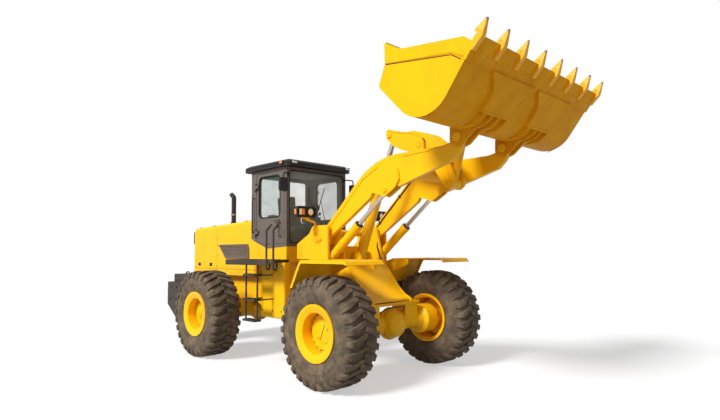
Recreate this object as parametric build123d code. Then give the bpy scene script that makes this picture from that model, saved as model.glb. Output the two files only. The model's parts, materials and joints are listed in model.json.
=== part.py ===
"""Articulated wheel loader, standing on its wheels, with the bucket raised and rolled back.

Millimetres. +X is forward, +Y is the machine's left, +Z is up, and the ground is Z = 0.
Everything is laid out from the articulation pin at X = 0, and saved with the whole
machine's box centred over the origin. Outlines are lists of corners, each (a, b), or
(a, b, r) where the corner is rounded to radius r.
"""
import os
from math import atan2, cos, degrees, hypot, radians, sin

from build123d import *

os.makedirs("parts", exist_ok=True)

# ---------------------------------------------------------------- driving sizes
ORIGIN_SHIFT_X = -394.0      # puts the middle of the whole machine's length over the origin
WHEELBASE = 3250.0
WHEEL_Y = 1165.0             # wheel centre plane, each side
TYRE_R = 748.0               # over the lugs
TYRE_W = 540.0
LUG_H = 52.0
LUG_T = 104.0                # thickness of a lug round the tyre
LUG_COUNT = 20               # in each of the two rows
LUG_SLANT = 24.0             # degrees off the axle's direction
LUG_DROP = 8.0               # a flat lug's corners reach this much further out than its middle
RIM_R = 381.0                # rim flange
RIM_W = 500.0
RIM_T = 25.0                 # rim wall
RUN = 6.0                    # clearance between pieces that move past each other
GAP = 0.3                    # gap at a seat
PIN_PLAY = 0.05              # radial clearance of a running pin

AXLE_X = WHEELBASE / 2
AXLE_Z = TYRE_R
FRONT = AXLE_X
REAR = -AXLE_X

PARTS = {}


def save(name, solid):
    """Keep one named piece."""
    PARTS[name] = solid


def box(x0, x1, y0, y1, z0, z1):
    """Box between six limits."""
    centre = ((x0 + x1) / 2, (y0 + y1) / 2, (z0 + z1) / 2)
    return Pos(*centre) * Box(abs(x1 - x0), abs(y1 - y0), abs(z1 - z0))


def corner_line(corners, place):
    """Closed line through the corners, each put in space by place(a, b), and rounded."""
    points = [place(corner[0], corner[1]) for corner in corners]
    radii = [corner[2] if len(corner) > 2 else 0 for corner in corners]
    return FilletPolyline(*points, radius=radii, close=True)


def side_plate(corners, y0, y1):
    """Plate with an X-Z outline, from y0 to y1."""
    face = make_face(corner_line(corners, lambda x, z: (x, 0, z)))
    return Pos(0, max(y0, y1), 0) * extrude(face, abs(y1 - y0), dir=(0, -1, 0))


def plan_plate(corners, z0, z1):
    """Plate with an X-Y outline, from z0 up to z1."""
    face = make_face(corner_line(corners, lambda x, y: (x, y, 0)))
    return Pos(0, 0, z0) * extrude(face, z1 - z0, dir=(0, 0, 1))


def cross_plate(corners, x0, x1):
    """Plate with a Y-Z outline, from x0 to x1."""
    face = make_face(corner_line(corners, lambda y, z: (0, y, z)))
    return Pos(x0, 0, 0) * extrude(face, x1 - x0, dir=(1, 0, 0))


def rod_y(x, z, r, y0, y1):
    """Round bar across the machine."""
    return Pos(x, (y0 + y1) / 2, z) * Rot(90, 0, 0) * Cylinder(r, abs(y1 - y0))


def rod_z(x, y, r, z0, z1):
    """Upright round bar."""
    return Pos(x, y, (z0 + z1) / 2) * Cylinder(r, abs(z1 - z0))


def rod_x(y, z, r, x0, x1):
    """Round bar along the machine."""
    return Pos((x0 + x1) / 2, y, z) * Rot(0, 90, 0) * Cylinder(r, abs(x1 - x0))


def rod_between(p, q, r):
    """Round bar from p to q."""
    start = Vector(p)
    run = Vector(q) - start
    plane = Plane(origin=start, z_dir=run)
    return plane * Pos(0, 0, run.length / 2) * Cylinder(r, run.length)


def bent_bar(points, radii, r):
    """Round bar along straight runs joined by arcs."""
    path = FilletPolyline(*points, radius=radii)
    section = Plane(origin=path @ 0, z_dir=path % 0) * Circle(r)
    return sweep(section, path)


def turned(corners):
    """Solid of revolution about Z from (radius, height) corners."""
    return revolve(make_face(corner_line(corners, lambda r, h: (r, 0, h))), Axis.Z)


def across(solid, x, z):
    """Turn a solid made about +Z so that its axis lies along +Y through (x, z)."""
    return Pos(x, 0, z) * Rot(-90, 0, 0) * solid


def mirrored(solid):
    """The same piece on the machine's other side."""
    return mirror(solid, about=Plane.XZ)


def pair(solid):
    """A left piece and its right twin, as two solids."""
    return Compound([solid, mirrored(solid)])


# ---------------------------------------------------------------- wheels
SEAT_R = RIM_R - 35.0        # where the tyre's bead sits on the rim
CARCASS_R = TYRE_R - LUG_H
FLANGE_W = 22.0
DISH_R = 270.0               # inside of the rim's recess
WEB_IN = 30.0                # inner face of the wheel's web, outward from the wheel's middle
WEB_T = 25.0
HUB_R = 235.0                # end drum of the hub
HUB_FACE = 85.0              # its face, outward from the wheel's middle


def tyre():
    """Lugged tyre about Z: a faceted carcass with two staggered rows of slanted lugs."""
    half = TYRE_W / 2
    sides = LUG_COUNT
    sections = (
        # height along the axle, radius
        (-half + 70, SEAT_R + 8),
        (-half, CARCASS_R - 175),
        (-half + 38, CARCASS_R),
        (half - 38, CARCASS_R),
        (half, CARCASS_R - 175),
        (half - 70, SEAT_R + 8),
    )
    rings = [Pos(0, 0, h) * RegularPolygon(r, sides, major_radius=True) for h, r in sections]
    solid = loft(rings, ruled=True)
    solid = solid - Cylinder(SEAT_R, TYRE_W)
    pitch = 360.0 / LUG_COUNT
    reach = half - 24
    lug = Pos(CARCASS_R - LUG_DROP, 0, reach / 2 + 16) * Rot(LUG_SLANT, 0, 0) * Box(2 * LUG_H, LUG_T, reach)
    lugs = []
    for k in range(LUG_COUNT):
        lugs.append(Rot(0, 0, pitch * k) * lug)
        lugs.append(Rot(0, 0, pitch * (k + 0.5)) * mirror(lug, about=Plane.XY))
    return solid.fuse(*lugs)


def rim():
    """Rim about Z, outer face up: flanges, a deep dish, the web and the hub's end drum."""
    half = RIM_W / 2
    return turned([
        (0, WEB_IN), (DISH_R + RIM_T, WEB_IN), (DISH_R + RIM_T, half - 60),
        (SEAT_R - RIM_T, half - 60), (SEAT_R - RIM_T, -half + FLANGE_W + 8),
        (RIM_R - RIM_T, -half), (RIM_R, -half), (RIM_R, -half + FLANGE_W),
        (SEAT_R - GAP, -half + FLANGE_W + 8), (SEAT_R - GAP, half - FLANGE_W - 8),
        (RIM_R, half - FLANGE_W), (RIM_R, half), (DISH_R + 70, half - 4),
        (DISH_R, half - 30), (DISH_R, WEB_IN + WEB_T), (HUB_R, WEB_IN + WEB_T),
        (HUB_R, HUB_FACE - 8), (HUB_R - 10, HUB_FACE), (0, HUB_FACE),
    ])


WHEELS = (
    # name, x, side (+1 is left)
    ("front_left", FRONT, 1),
    ("front_right", FRONT, -1),
    ("rear_left", REAR, 1),
    ("rear_right", REAR, -1),
)
TYRE_MODEL = tyre()
RIM_MODEL = rim()
for name, x, side in WHEELS:
    place = Pos(x, side * WHEEL_Y, AXLE_Z) * Rot(-90 * side, 0, 0)
    save("tyre_" + name, place * TYRE_MODEL)
    save("rim_" + name, place * RIM_MODEL)

# ---------------------------------------------------------------- axles
BALL_R = 215.0
BALL_X = 90.0                # the differential's middle, ahead of the wheel line
ARM_R = 130.0                # axle arm beside the differential
DRUM_R = 225.0               # brake housing
SADDLE_HALF = 130.0
SADDLE_Y = (290.0, 560.0)
NOSE_X = 330.0               # pinion flange, from the wheel line
RIM_INNER = WHEEL_Y - RIM_W / 2


def axle(x, mount_top, nose):
    """Drive axle: bowl, tapering arms, brake housings, spindles and saddles. nose is +1 or
    -1, the side that the drive shaft comes from."""
    end = WHEEL_Y + WEB_IN - GAP
    arm = turned([
        (0, 0), (170, 0), (150, 230), (ARM_R, 290), (ARM_R, WHEEL_Y - 560),
        (160, WHEEL_Y - 480), (DRUM_R, WHEEL_Y - 440, 20), (DRUM_R, RIM_INNER + 60, 20),
        (150, RIM_INNER + 90), (130, end), (0, end),
    ])
    bowl = turned([
        (0, -BALL_R), (70, -BALL_R, 60), (170, -BALL_R + 70, 90), (BALL_R, -40, 40),
        (BALL_R, 40), (110, 190, 60), (75, NOSE_X), (0, NOSE_X),
    ])
    solid = Pos(x - nose * BALL_X, 0, AXLE_Z) * Rot(0, 90 * nose, 0) * bowl
    pieces = [across(arm, x, AXLE_Z), mirrored(across(arm, x, AXLE_Z))]
    for side in (1, -1):
        pieces.append(box(x - SADDLE_HALF, x + SADDLE_HALF, side * SADDLE_Y[0],
                          side * SADDLE_Y[1], AXLE_Z, mount_top - GAP))
    return solid.fuse(*pieces)


SHAFT_R = 42.0
SHAFT_Z = 925.0              # drive shafts' height at the articulation
BEARING_R = 75.0
NOSE_AT = FRONT + BALL_X - NOSE_X            # axle noses, ahead of and behind the articulation


def shaft_height(x):
    """Height of the drive shafts' centre line at x, from axle nose to articulation."""
    return SHAFT_Z - (SHAFT_Z - AXLE_Z) * abs(x) / NOSE_AT


# ---------------------------------------------------------------- rear frame
RAIL_Y = 400.0               # outer face of the rear frame's side rails
RAIL_T = 40.0
RAIL_IN = RAIL_Y - RAIL_T
RAIL_HIGH = 1380.0
SADDLE_TOP = 960.0           # underside of the rails over the rear axle
RAIL_REAR = -3200.0
CROSS_T = 60.0
LUG_Z = ((1080.0, 1150.0), (700.0, 770.0))   # rear hinge plates, low and high Z
HINGE_FORK = 60.0            # thickness of the front hinge plates
HINGE_R = 150.0
HINGE_BACK = -330.0
PIN_R = 50.0
STEER_Z = 925.0
STEER_PIN_R = 28.0
STEER_BASE = (-850.0, 235.0)
STEER_EYE = (100.0, 265.0)
BEARING_WALL = (-420.0, -380.0)   # plate that carries the rear drive shaft's bearing
CROSS_MEMBERS = (RAIL_REAR, -2200.0, -1150.0)


def rear_frame():
    """Side rails, cross members, hinge plates and the articulation pins."""
    rail = [
        (RAIL_REAR, RAIL_HIGH), (-900, RAIL_HIGH, 200), (HINGE_BACK, 1200), (HINGE_BACK, LUG_Z[1][0]),
        (-800, LUG_Z[1][0], 120), (-1250, SADDLE_TOP, 150), (RAIL_REAR, SADDLE_TOP),
    ]
    solid = side_plate(rail, RAIL_IN, RAIL_Y)
    pieces = [mirrored(solid)]
    for x in CROSS_MEMBERS:
        pieces.append(box(x, x + CROSS_T, -RAIL_IN, RAIL_IN, SADDLE_TOP + 60, RAIL_HIGH))
    hinge = [
        (-900, RAIL_IN), (HINGE_BACK, RAIL_IN), (0, HINGE_R), (0, -HINGE_R),
        (HINGE_BACK, -RAIL_IN), (-900, -RAIL_IN),
    ]
    for low, high in LUG_Z:
        pin_ends = HINGE_FORK + 10 + RUN
        pieces.append(plan_plate(hinge, low, high))
        pieces.append(rod_z(0, 0, HINGE_R, low, high))
        pieces.append(rod_z(0, 0, PIN_R, low - pin_ends, high + pin_ends))
    for side in (1, -1):
        pieces.append(rod_z(STEER_BASE[0], side * STEER_BASE[1], STEER_PIN_R,
                            LUG_Z[1][1] - 5, LUG_Z[0][0] + 5))
    pieces.append(box(*BEARING_WALL, -120, 120, LUG_Z[1][1] - 5, LUG_Z[0][0] + 5))
    hole = rod_x(0, shaft_height(sum(BEARING_WALL) / 2), BEARING_R + GAP, BEARING_WALL[0] - 5, BEARING_WALL[1] + 5)
    return solid.fuse(*pieces) - hole


save("rear_frame", rear_frame())
save("rear_axle", axle(REAR, SADDLE_TOP, 1))

WEIGHT_FRONT = -2700.0
WEIGHT_REAR = -3560.0
WEIGHT_Y = 1000.0
WEIGHT_STEP = 70.0           # the upper step is this much narrower each side
WEIGHT_STEP_X = -3420.0
WEIGHT_TOP = 1220.0
HITCH_X = -3480.0
HITCH_R = 26.0
HITCH_SLOT = (850.0, 950.0)
HITCH_Y = 110.0


def counterweight():
    """Cast counterweight round the rear rails, with a raised step, a sloped underside and
    the tow slot with its pin bore."""
    lower = [
        (WEIGHT_REAR, WEIGHT_TOP, 30), (WEIGHT_REAR, 770, 40), (-3120, 480, 60),
        (WEIGHT_FRONT, 480, 40), (WEIGHT_FRONT, WEIGHT_TOP),
    ]
    upper = [
        (WEIGHT_STEP_X, WEIGHT_TOP - 20), (WEIGHT_STEP_X, RAIL_HIGH, 30), (WEIGHT_FRONT - 50, RAIL_HIGH),
        (WEIGHT_FRONT - 50, WEIGHT_TOP - 20),
    ]
    solid = side_plate(lower, -WEIGHT_Y, WEIGHT_Y)
    solid = solid.fuse(side_plate(upper, -WEIGHT_Y + WEIGHT_STEP, WEIGHT_Y - WEIGHT_STEP))
    rails = box(RAIL_REAR - GAP, WEIGHT_FRONT + 10, -RAIL_Y - GAP, RAIL_Y + GAP,
                SADDLE_TOP - 160, RAIL_HIGH + 20)
    slot = box(WEIGHT_REAR - 10, HITCH_X + 100, -HITCH_Y, HITCH_Y, *HITCH_SLOT)
    return solid - rails - slot - rod_z(HITCH_X, 0, HITCH_R, 500, RAIL_HIGH)


save("counterweight", counterweight())

# ---------------------------------------------------------------- hood and engine
HOOD_Y = 550.0
HOOD_REAR = -3350.0
HOOD_FRONT = -1060.0
HOOD_WALL = 30.0
HOOD_LOW = RAIL_HIGH + GAP
HOOD_TOP_REAR = 2310.0
HOOD_TOP_FRONT = 2400.0
GRILLE_Y = 400.0
GRILLE_Z = (1500.0, 2120.0)
SLAT_COUNT = 12
SLAT_T = 14.0
LOUVRE_X = (-2305.0, -1235.0)
LOUVRE_Z = (1700.0, 1960.0)
LOUVRE_OUT = 22.0
LOUVRE_SLATS = 6
ENGINE = (-2900.0, -2250.0)
ENGINE_Y = 330.0
EXHAUST = (-2280.0, -250.0)
EXHAUST_R = 46.0
EXHAUST_TOP = 2990.0


def hood():
    """Engine hood, an open-bottomed shell with a rounded roof and the grille's opening."""
    outer = [
        (HOOD_REAR, HOOD_LOW), (HOOD_REAR, HOOD_TOP_REAR, 90), (HOOD_FRONT, HOOD_TOP_FRONT, 30),
        (HOOD_FRONT, HOOD_LOW),
    ]
    solid = side_plate(outer, -HOOD_Y, HOOD_Y)
    top_edges = [edge for edge in solid.edges() if edge.center().Z > HOOD_TOP_REAR - 20
                 and abs(abs(edge.center().Y) - HOOD_Y) < 1 and edge.length > 500]
    solid = fillet(top_edges, 60)
    w = HOOD_WALL
    inner = [
        (HOOD_REAR + w, HOOD_LOW - 10), (HOOD_REAR + w, HOOD_TOP_REAR - w, 60),
        (HOOD_FRONT - w, HOOD_TOP_FRONT - w - 2), (HOOD_FRONT - w, HOOD_LOW - 10),
    ]
    cavity = side_plate(inner, -HOOD_Y + w, HOOD_Y - w)
    roof_edges = [edge for edge in cavity.edges() if edge.center().Z > HOOD_TOP_REAR - 60
                  and abs(abs(edge.center().Y) - HOOD_Y + w) < 1 and edge.length > 500]
    cavity = fillet(roof_edges, 60 - w)
    window = box(HOOD_REAR - 10, HOOD_REAR + w + 10, -GRILLE_Y, GRILLE_Y, *GRILLE_Z)
    return solid - cavity - window


def grille():
    """Rear radiator grille: a frame and sloping slats in the hood's opening."""
    y = GRILLE_Y - GAP
    z0 = GRILLE_Z[0] + GAP
    z1 = GRILLE_Z[1] - GAP
    x0 = HOOD_REAR
    x1 = HOOD_REAR + HOOD_WALL
    solid = box(x0, x1, -y, y, z0, z1) - box(x0 - 1, x1 + 1, -y + 30, y - 30, z0 + 30, z1 - 30)
    step = (z1 - z0 - 60) / SLAT_COUNT
    slats = []
    for k in range(SLAT_COUNT):
        z = z0 + 30 + step * (k + 0.5)
        slats.append(side_plate([(x0 + 2, z - SLAT_T), (x0 + 2, z), (x1 - 2, z + SLAT_T),
                                 (x1 - 2, z)], -y + 29, y - 29))
    slats.append(box(x0 + 4, x1 - 4, -12, 12, z0 + 29, z1 - 29))
    return solid.fuse(*slats)


def hood_louvre():
    """Dark louvred panel on the hood's left side, with slanted ends."""
    x0, x1 = LOUVRE_X
    z0, z1 = LOUVRE_Z
    y = HOOD_Y + GAP
    slant = z1 - z0
    frame = [(x0, z1), (x1 - 40, z1), (x1, z1 - 90), (x1, z0), (x0 + slant, z0)]
    inset = 28
    hole = [(x0 + 2.6 * inset, z1 - inset), (x1 - 40 - 0.6 * inset, z1 - inset),
            (x1 - inset, z1 - 90 - 0.4 * inset), (x1 - inset, z0 + inset),
            (x0 + slant + 0.4 * inset, z0 + inset)]
    solid = side_plate(frame, y, y + LOUVRE_OUT) - side_plate(hole, y + 6, y + LOUVRE_OUT + 1)
    step = (z1 - z0 - 2 * inset) / LOUVRE_SLATS
    slats = []
    for k in range(LOUVRE_SLATS):
        z = z0 + inset + step * (k + 0.5)
        start = x0 + slant - (z - z0) + 1.2 * inset
        tip = [(y + 5, z - 4), (y + 5, z + 10), (y + LOUVRE_OUT - 2, z - 4), (y + LOUVRE_OUT - 2, z - 14)]
        slats.append(cross_plate(tip, start, x1 - inset + 1))
    return solid.fuse(*slats)


save("engine_hood", hood())
save("radiator_grille", grille())
save("hood_louvres", pair(hood_louvre()))

engine = box(ENGINE[0], ENGINE[1], -ENGINE_Y, ENGINE_Y, 1000, 2050)
mounting = box(ENGINE[0] + 100, ENGINE[0] + 200, -RAIL_IN + GAP, RAIL_IN - GAP, 1150, 1250)
save("engine_block", engine.fuse(mounting))


def exhaust():
    """Exhaust stack with a flange, a bent outlet and a clamp band."""
    x, y = EXHAUST
    foot = HOOD_TOP_FRONT - (HOOD_FRONT - x) * (HOOD_TOP_FRONT - HOOD_TOP_REAR) / (HOOD_FRONT - HOOD_REAR)
    pipe = bent_bar([(x, y, foot - 20), (x, y, EXHAUST_TOP - 75), (x - 90, y, EXHAUST_TOP - 15)],
                    [70], EXHAUST_R)
    collar = rod_z(x, y, EXHAUST_R + 12, foot + 30, foot + 60)
    flange = rod_z(x, y, EXHAUST_R + 32, foot - 20, foot + 16)
    slab = side_plate([(HOOD_REAR, HOOD_TOP_REAR), (HOOD_FRONT, HOOD_TOP_FRONT), (HOOD_FRONT, 2000),
                       (HOOD_REAR, 2000)], -HOOD_Y, HOOD_Y)
    return pipe.fuse(collar, flange) - Pos(0, 0, GAP) * slab


save("exhaust_stack", exhaust())

# ---------------------------------------------------------------- platform and cab
DECK_Z = 1690.0
DECK_T = 50.0
DECK_Y = 1150.0
DECK_REAR = -1050.0
CAB_REAR = -1000.0
CAB_FRONT = 30.0
CAB_Y = 665.0
CAB_WALL = 50.0
CAB_FLOOR = 1850.0           # underside of the floor
FLOOR_T = 50.0
FLOOR_TOP = CAB_FLOOR + FLOOR_T
CAB_TOP = 3230.0
SKIRT_REAR_Z = 2035.0        # the cab's lower edge on each side is a shallow V
SKIRT_LOW = (-513.0, 1872.0)
SKIRT_FRONT_Z = 1901.0
ROOF_TOP = 3353.0
ROOF_REAR = -1175.0
ROOF_FRONT = 133.0
ROOF_Y = 725.0
DOOR_REAR = -840.0
DOOR_FRONT = -60.0
DOOR_LOW = 1950.0
DOOR_LOW_REAR = (-700.0, 1998.0)             # the lower edge rises behind this X to this Z
DOOR_HIGH = CAB_TOP - 60.0
WINDOW = (-765.0, -150.0, 2400.0, 3110.0)    # door window, X then Z limits
WINDOW_CORNER = 90.0
REAR_WINDOW = (CAB_Y - 100.0, 2350.0, CAB_TOP - 90.0)   # half width, then Z limits
WINDSCREEN = (CAB_Y - 60.0, 1965.0, CAB_TOP - 60.0)
GLASS_T = 6.0
HINGE_X = DOOR_REAR
HINGE_OFF = 26.0
HINGE_Y = CAB_Y + HINGE_OFF
HINGE_PIN_R = 8.0
HINGE_EAR = 12.0
HINGE_HEIGHTS = (2150.0, 2950.0)


def walkway():
    """Left walkway: a deck plate with a turned-down edge, cut back in front of the cab so
    that the front half can swing past."""
    outline = [
        (DECK_REAR, CAB_Y), (100, CAB_Y), (100, 890), (400, 1100), (400, DECK_Y, 20),
        (DECK_REAR, DECK_Y, 20),
    ]
    slab = plan_plate(outline, DECK_Z - DECK_T, DECK_Z)
    inner = [(DECK_REAR + 15, CAB_Y - 10), (60, CAB_Y - 10), (60, 1125), (DECK_REAR + 15, 1125)]
    return slab - plan_plate(inner, DECK_Z - DECK_T - 10, DECK_Z - 12)


save("walkways", pair(walkway()))


def cab_base():
    """Yellow skirt under the cab, with the floor and the legs that stand on the rails."""
    skirt = [
        (CAB_REAR, DECK_Z - DECK_T), (CAB_REAR, SKIRT_REAR_Z), SKIRT_LOW, (CAB_FRONT, SKIRT_FRONT_Z),
        (CAB_FRONT, DECK_Z - DECK_T),
    ]
    side = side_plate(skirt, CAB_Y - CAB_WALL, CAB_Y - GAP)
    leg = [
        (CAB_REAR + 60, CAB_FLOOR + 10), (CAB_REAR + 60, RAIL_HIGH + GAP), (-900, RAIL_HIGH + GAP, 200),
        (HINGE_BACK, 1200 + GAP), (HINGE_BACK, 1500, 60), (-230, 1640), (-230, CAB_FLOOR + 10),
    ]
    upright = side_plate(leg, RAIL_IN + 5, RAIL_Y - 5)
    floor = box(CAB_REAR, CAB_FRONT, -CAB_Y + GAP, CAB_Y - GAP, CAB_FLOOR, FLOOR_TOP)
    back = box(CAB_REAR, CAB_REAR + CAB_WALL, -CAB_Y + GAP, CAB_Y - GAP, DECK_Z - DECK_T, SKIRT_REAR_Z)
    front = box(CAB_FRONT - CAB_WALL, CAB_FRONT, -CAB_Y + GAP, CAB_Y - GAP, DECK_Z - DECK_T, SKIRT_FRONT_Z)
    return floor.fuse(side, mirrored(side), upright, mirrored(upright), back, front)


save("cab_base", cab_base())


def cab_rear_wall():
    """Rear wall with its window."""
    wall = box(CAB_REAR, CAB_REAR + CAB_WALL, -CAB_Y, CAB_Y, SKIRT_REAR_Z, CAB_TOP)
    half, low, high = REAR_WINDOW
    hole = [(-half, low, 60), (half, low, 60), (half, high, 60), (-half, high, 60)]
    return wall - cross_plate(hole, CAB_REAR - 5, CAB_REAR + CAB_WALL + 5)


def cab_front_wall():
    """Front wall with the windscreen's opening."""
    wall = box(CAB_FRONT - CAB_WALL, CAB_FRONT, -CAB_Y, CAB_Y, SKIRT_FRONT_Z, CAB_TOP)
    half, low, high = WINDSCREEN
    hole = [(-half, low, 30), (half, low, 30), (half, high, 60), (-half, high, 60)]
    return wall - cross_plate(hole, CAB_FRONT - CAB_WALL - 5, CAB_FRONT + 5)


def door_hole(clear):
    """Outline of the doorway, made larger all round by clear."""
    return [
        (DOOR_REAR - clear, DOOR_LOW_REAR[1] - clear, 20), (DOOR_LOW_REAR[0], DOOR_LOW - clear, 80),
        (DOOR_FRONT + clear, DOOR_LOW - clear, 40),
        (DOOR_FRONT + clear, DOOR_HIGH + clear, 60), (DOOR_REAR - clear, DOOR_HIGH + clear, 60),
    ]


def cab_side():
    """Left side wall between the end walls: V-shaped lower edge, doorway and hinge pins."""
    x0 = CAB_REAR + CAB_WALL
    x1 = CAB_FRONT - CAB_WALL
    slope = (SKIRT_REAR_Z - SKIRT_LOW[1]) / (SKIRT_LOW[0] - CAB_REAR)
    rise = (SKIRT_FRONT_Z - SKIRT_LOW[1]) / (CAB_FRONT - SKIRT_LOW[0])
    outline = [
        (x0, SKIRT_REAR_Z - slope * CAB_WALL + GAP), (SKIRT_LOW[0], SKIRT_LOW[1] + GAP),
        (x1, SKIRT_FRONT_Z - rise * CAB_WALL + GAP), (x1, CAB_TOP), (x0, CAB_TOP),
    ]
    wall = side_plate(outline, CAB_Y - CAB_WALL, CAB_Y)
    wall = wall - side_plate(door_hole(RUN), CAB_Y - CAB_WALL - 5, CAB_Y + 5)
    floor = box(CAB_REAR, CAB_FRONT, 0, CAB_Y, CAB_FLOOR - 20, FLOOR_TOP + GAP)
    wall = wall - floor
    skin = side_plate(outline, CAB_Y, CAB_Y + 4)
    wall = wall.fuse(skin - side_plate(door_hole(RUN), CAB_Y - 5, CAB_Y + 9))
    for z in HINGE_HEIGHTS:
        pin = rod_z(HINGE_X, HINGE_Y, HINGE_PIN_R, z - 60, z + 60)
        ears = []
        for low, high in ((z - 62, z - 32), (z + 32, z + 62)):
            ears.append(box(HINGE_X - 60, HINGE_X - RUN, CAB_Y, HINGE_Y + HINGE_EAR, low, high))
            ears.append(box(HINGE_X - RUN - 1, HINGE_X + HINGE_EAR, HINGE_Y - HINGE_EAR,
                            HINGE_Y + HINGE_EAR, low, high))
        wall = wall.fuse(pin, *ears)
    return wall


def cab_door():
    """Left door leaf with its window, hinge straps and handle."""
    leaf = side_plate(door_hole(0), CAB_Y - CAB_WALL, CAB_Y)
    x0, x1, z0, z1 = WINDOW
    r = WINDOW_CORNER
    window = [(x0, z0, r), (x1, z0, r), (x1, z1, r), (x0, z1, r)]
    leaf = leaf - side_plate(window, CAB_Y - CAB_WALL - 5, CAB_Y + 5)
    handle = bent_bar([(x1 - 130, CAB_Y - 5, z0 - 60), (x1 - 130, CAB_Y + 42, z0 - 60),
                       (x1 - 10, CAB_Y + 42, z0 - 60), (x1 - 10, CAB_Y - 5, z0 - 60)], [20, 20], 9)
    leaf = leaf.fuse(handle)
    for z in HINGE_HEIGHTS:
        strap = box(HINGE_X, HINGE_X + 80, CAB_Y - 1, HINGE_Y + HINGE_EAR, z - 28, z + 28)
        eye = box(HINGE_X - HINGE_EAR, HINGE_X + 1, HINGE_Y - HINGE_EAR, HINGE_Y + HINGE_EAR, z - 28, z + 28)
        leaf = leaf.fuse(strap, eye) - rod_z(HINGE_X, HINGE_Y, HINGE_PIN_R + PIN_PLAY, z - 70, z + 70)
    return leaf


CAB_SIDE = cab_side()
CAB_DOOR = cab_door()
save("cab_rear_wall", cab_rear_wall())
save("cab_front_wall", cab_front_wall())
save("cab_side_left", CAB_SIDE)
save("cab_side_right", mirrored(CAB_SIDE))
save("cab_door_left", CAB_DOOR)
save("cab_door_right", mirrored(CAB_DOOR))


def cab_roof():
    """Roof cap with rounded corners, a drip edge all round and a sloped brow."""
    plan = [
        (ROOF_REAR, -ROOF_Y, 90), (ROOF_FRONT, -ROOF_Y, 110), (ROOF_FRONT, ROOF_Y, 110),
        (ROOF_REAR, ROOF_Y, 90),
    ]
    cap = plan_plate(plan, CAB_TOP + GAP, ROOF_TOP)
    rim_edges = [edge for edge in cap.edges() if edge.center().Z > ROOF_TOP - 1]
    cap = chamfer(rim_edges, 45, 90)
    under = box(CAB_REAR - 40, CAB_FRONT + 30, -CAB_Y + 60, CAB_Y - 60, CAB_TOP - 1, CAB_TOP + 50)
    return cap - under


LAMP_Z = (CAB_TOP + 35.0, CAB_TOP + 85.0)
ROOF_LAMPS = (
    # middle Y, half width
    (-600.0, 55.0),
    (600.0, 55.0),
)


def roof_lamps():
    """Work lamps in the roof's brow and an amber lamp at its right corner."""
    solids = []
    for y, half in ROOF_LAMPS:
        solids.append(box(ROOF_FRONT + GAP, ROOF_FRONT + 26, y - half, y + half, *LAMP_Z))
    solids.append(box(ROOF_FRONT - 190, ROOF_FRONT - 110, -ROOF_Y - 26, -ROOF_Y - GAP, *LAMP_Z))
    return Compound(solids)


save("cab_roof", cab_roof())
save("roof_lamps", roof_lamps())
half, low, high = WINDSCREEN
screen = cross_plate([(-half + GAP, low + GAP, 30), (half - GAP, low + GAP, 30), (half - GAP, high - GAP, 60),
                      (-half + GAP, high - GAP, 60)], CAB_FRONT - 30, CAB_FRONT - 30 + GLASS_T)
half, low, high = REAR_WINDOW
pane = cross_plate([(-half + GAP, low + GAP, 60), (half - GAP, low + GAP, 60), (half - GAP, high - GAP, 60),
                    (-half + GAP, high - GAP, 60)], CAB_REAR + 20, CAB_REAR + 20 + GLASS_T)
save("cab_glass", Compound([screen, pane]))
x0, x1, z0, z1 = WINDOW
r = WINDOW_CORNER
door_glass = side_plate([(x0 + GAP, z0 + GAP, r), (x1 - GAP, z0 + GAP, r), (x1 - GAP, z1 - GAP, r),
                         (x0 + GAP, z1 - GAP, r)], CAB_Y - 28, CAB_Y - 28 + GLASS_T)
save("door_glass_left", door_glass)
save("door_glass_right", mirrored(door_glass))

SEAT_X = -560.0
SEAT_TOP = 2270.0


def seat():
    """Operator's seat: pedestal, cushion and raked backrest."""
    solid = box(SEAT_X - 100, SEAT_X + 100, -120, 120, FLOOR_TOP + GAP, SEAT_TOP - 110)
    cushion = side_plate([(SEAT_X - 215, SEAT_TOP - 118), (SEAT_X + 260, SEAT_TOP - 105, 36),
                          (SEAT_X + 260, SEAT_TOP, 40), (SEAT_X - 215, SEAT_TOP - 22)], -240, 240)
    back = side_plate([(SEAT_X - 225, SEAT_TOP - 70), (SEAT_X - 310, SEAT_TOP + 560, 24),
                       (SEAT_X - 215, SEAT_TOP + 575, 40), (SEAT_X - 100, SEAT_TOP - 35)], -226, 226)
    return solid.fuse(cushion, back)


WHEEL_MIDDLE = (-215.0, 2530.0)
WHEEL_TILT = 30.0


def steering_column():
    """Steering column, dash and wheel."""
    x, z = WHEEL_MIDDLE
    solid = side_plate([(-190, FLOOR_TOP + GAP), (-70, FLOOR_TOP + GAP), (-70, 2360, 40), (-190, 2390, 40)],
                       -90, 90)
    stem = rod_between((-130, 0, 2330), (x, 0, z), 25)
    ring = turned([(176, -12), (200, -12), (208, 0), (200, 12), (176, 12), (168, 0)])
    spokes = Box(360, 36, 12).fuse(Box(36, 360, 12))
    wheel = Pos(x, 0, z) * Rot(0, -WHEEL_TILT, 0) * ring.fuse(spokes)
    return solid.fuse(stem, wheel)


save("operator_seat", seat())
save("steering_column", steering_column())

MIRROR_BAR_R = 11.0


def mirror_arm():
    """Left rear-view mirror on its bent bar, carried by the cab's front corner."""
    bar = bent_bar([(CAB_FRONT + GAP, CAB_Y - 40, 3100), (CAB_FRONT + 75, CAB_Y - 40, 3100),
                    (CAB_FRONT + 75, CAB_Y + 120, 3100), (CAB_FRONT + 75, CAB_Y + 120, 3000)],
                   [30, 30], MIRROR_BAR_R)
    foot = box(CAB_FRONT + GAP, CAB_FRONT + 12, CAB_Y - 62, CAB_Y - 18, 3070, 3130)
    glass = box(CAB_FRONT + 50, CAB_FRONT + 95, CAB_Y + 40, CAB_Y + 200, 2800, 3020)
    glass = fillet(glass.edges().filter_by(Axis.X), 30)
    return bar.fuse(foot, glass)


save("mirrors", pair(mirror_arm()))

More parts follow.
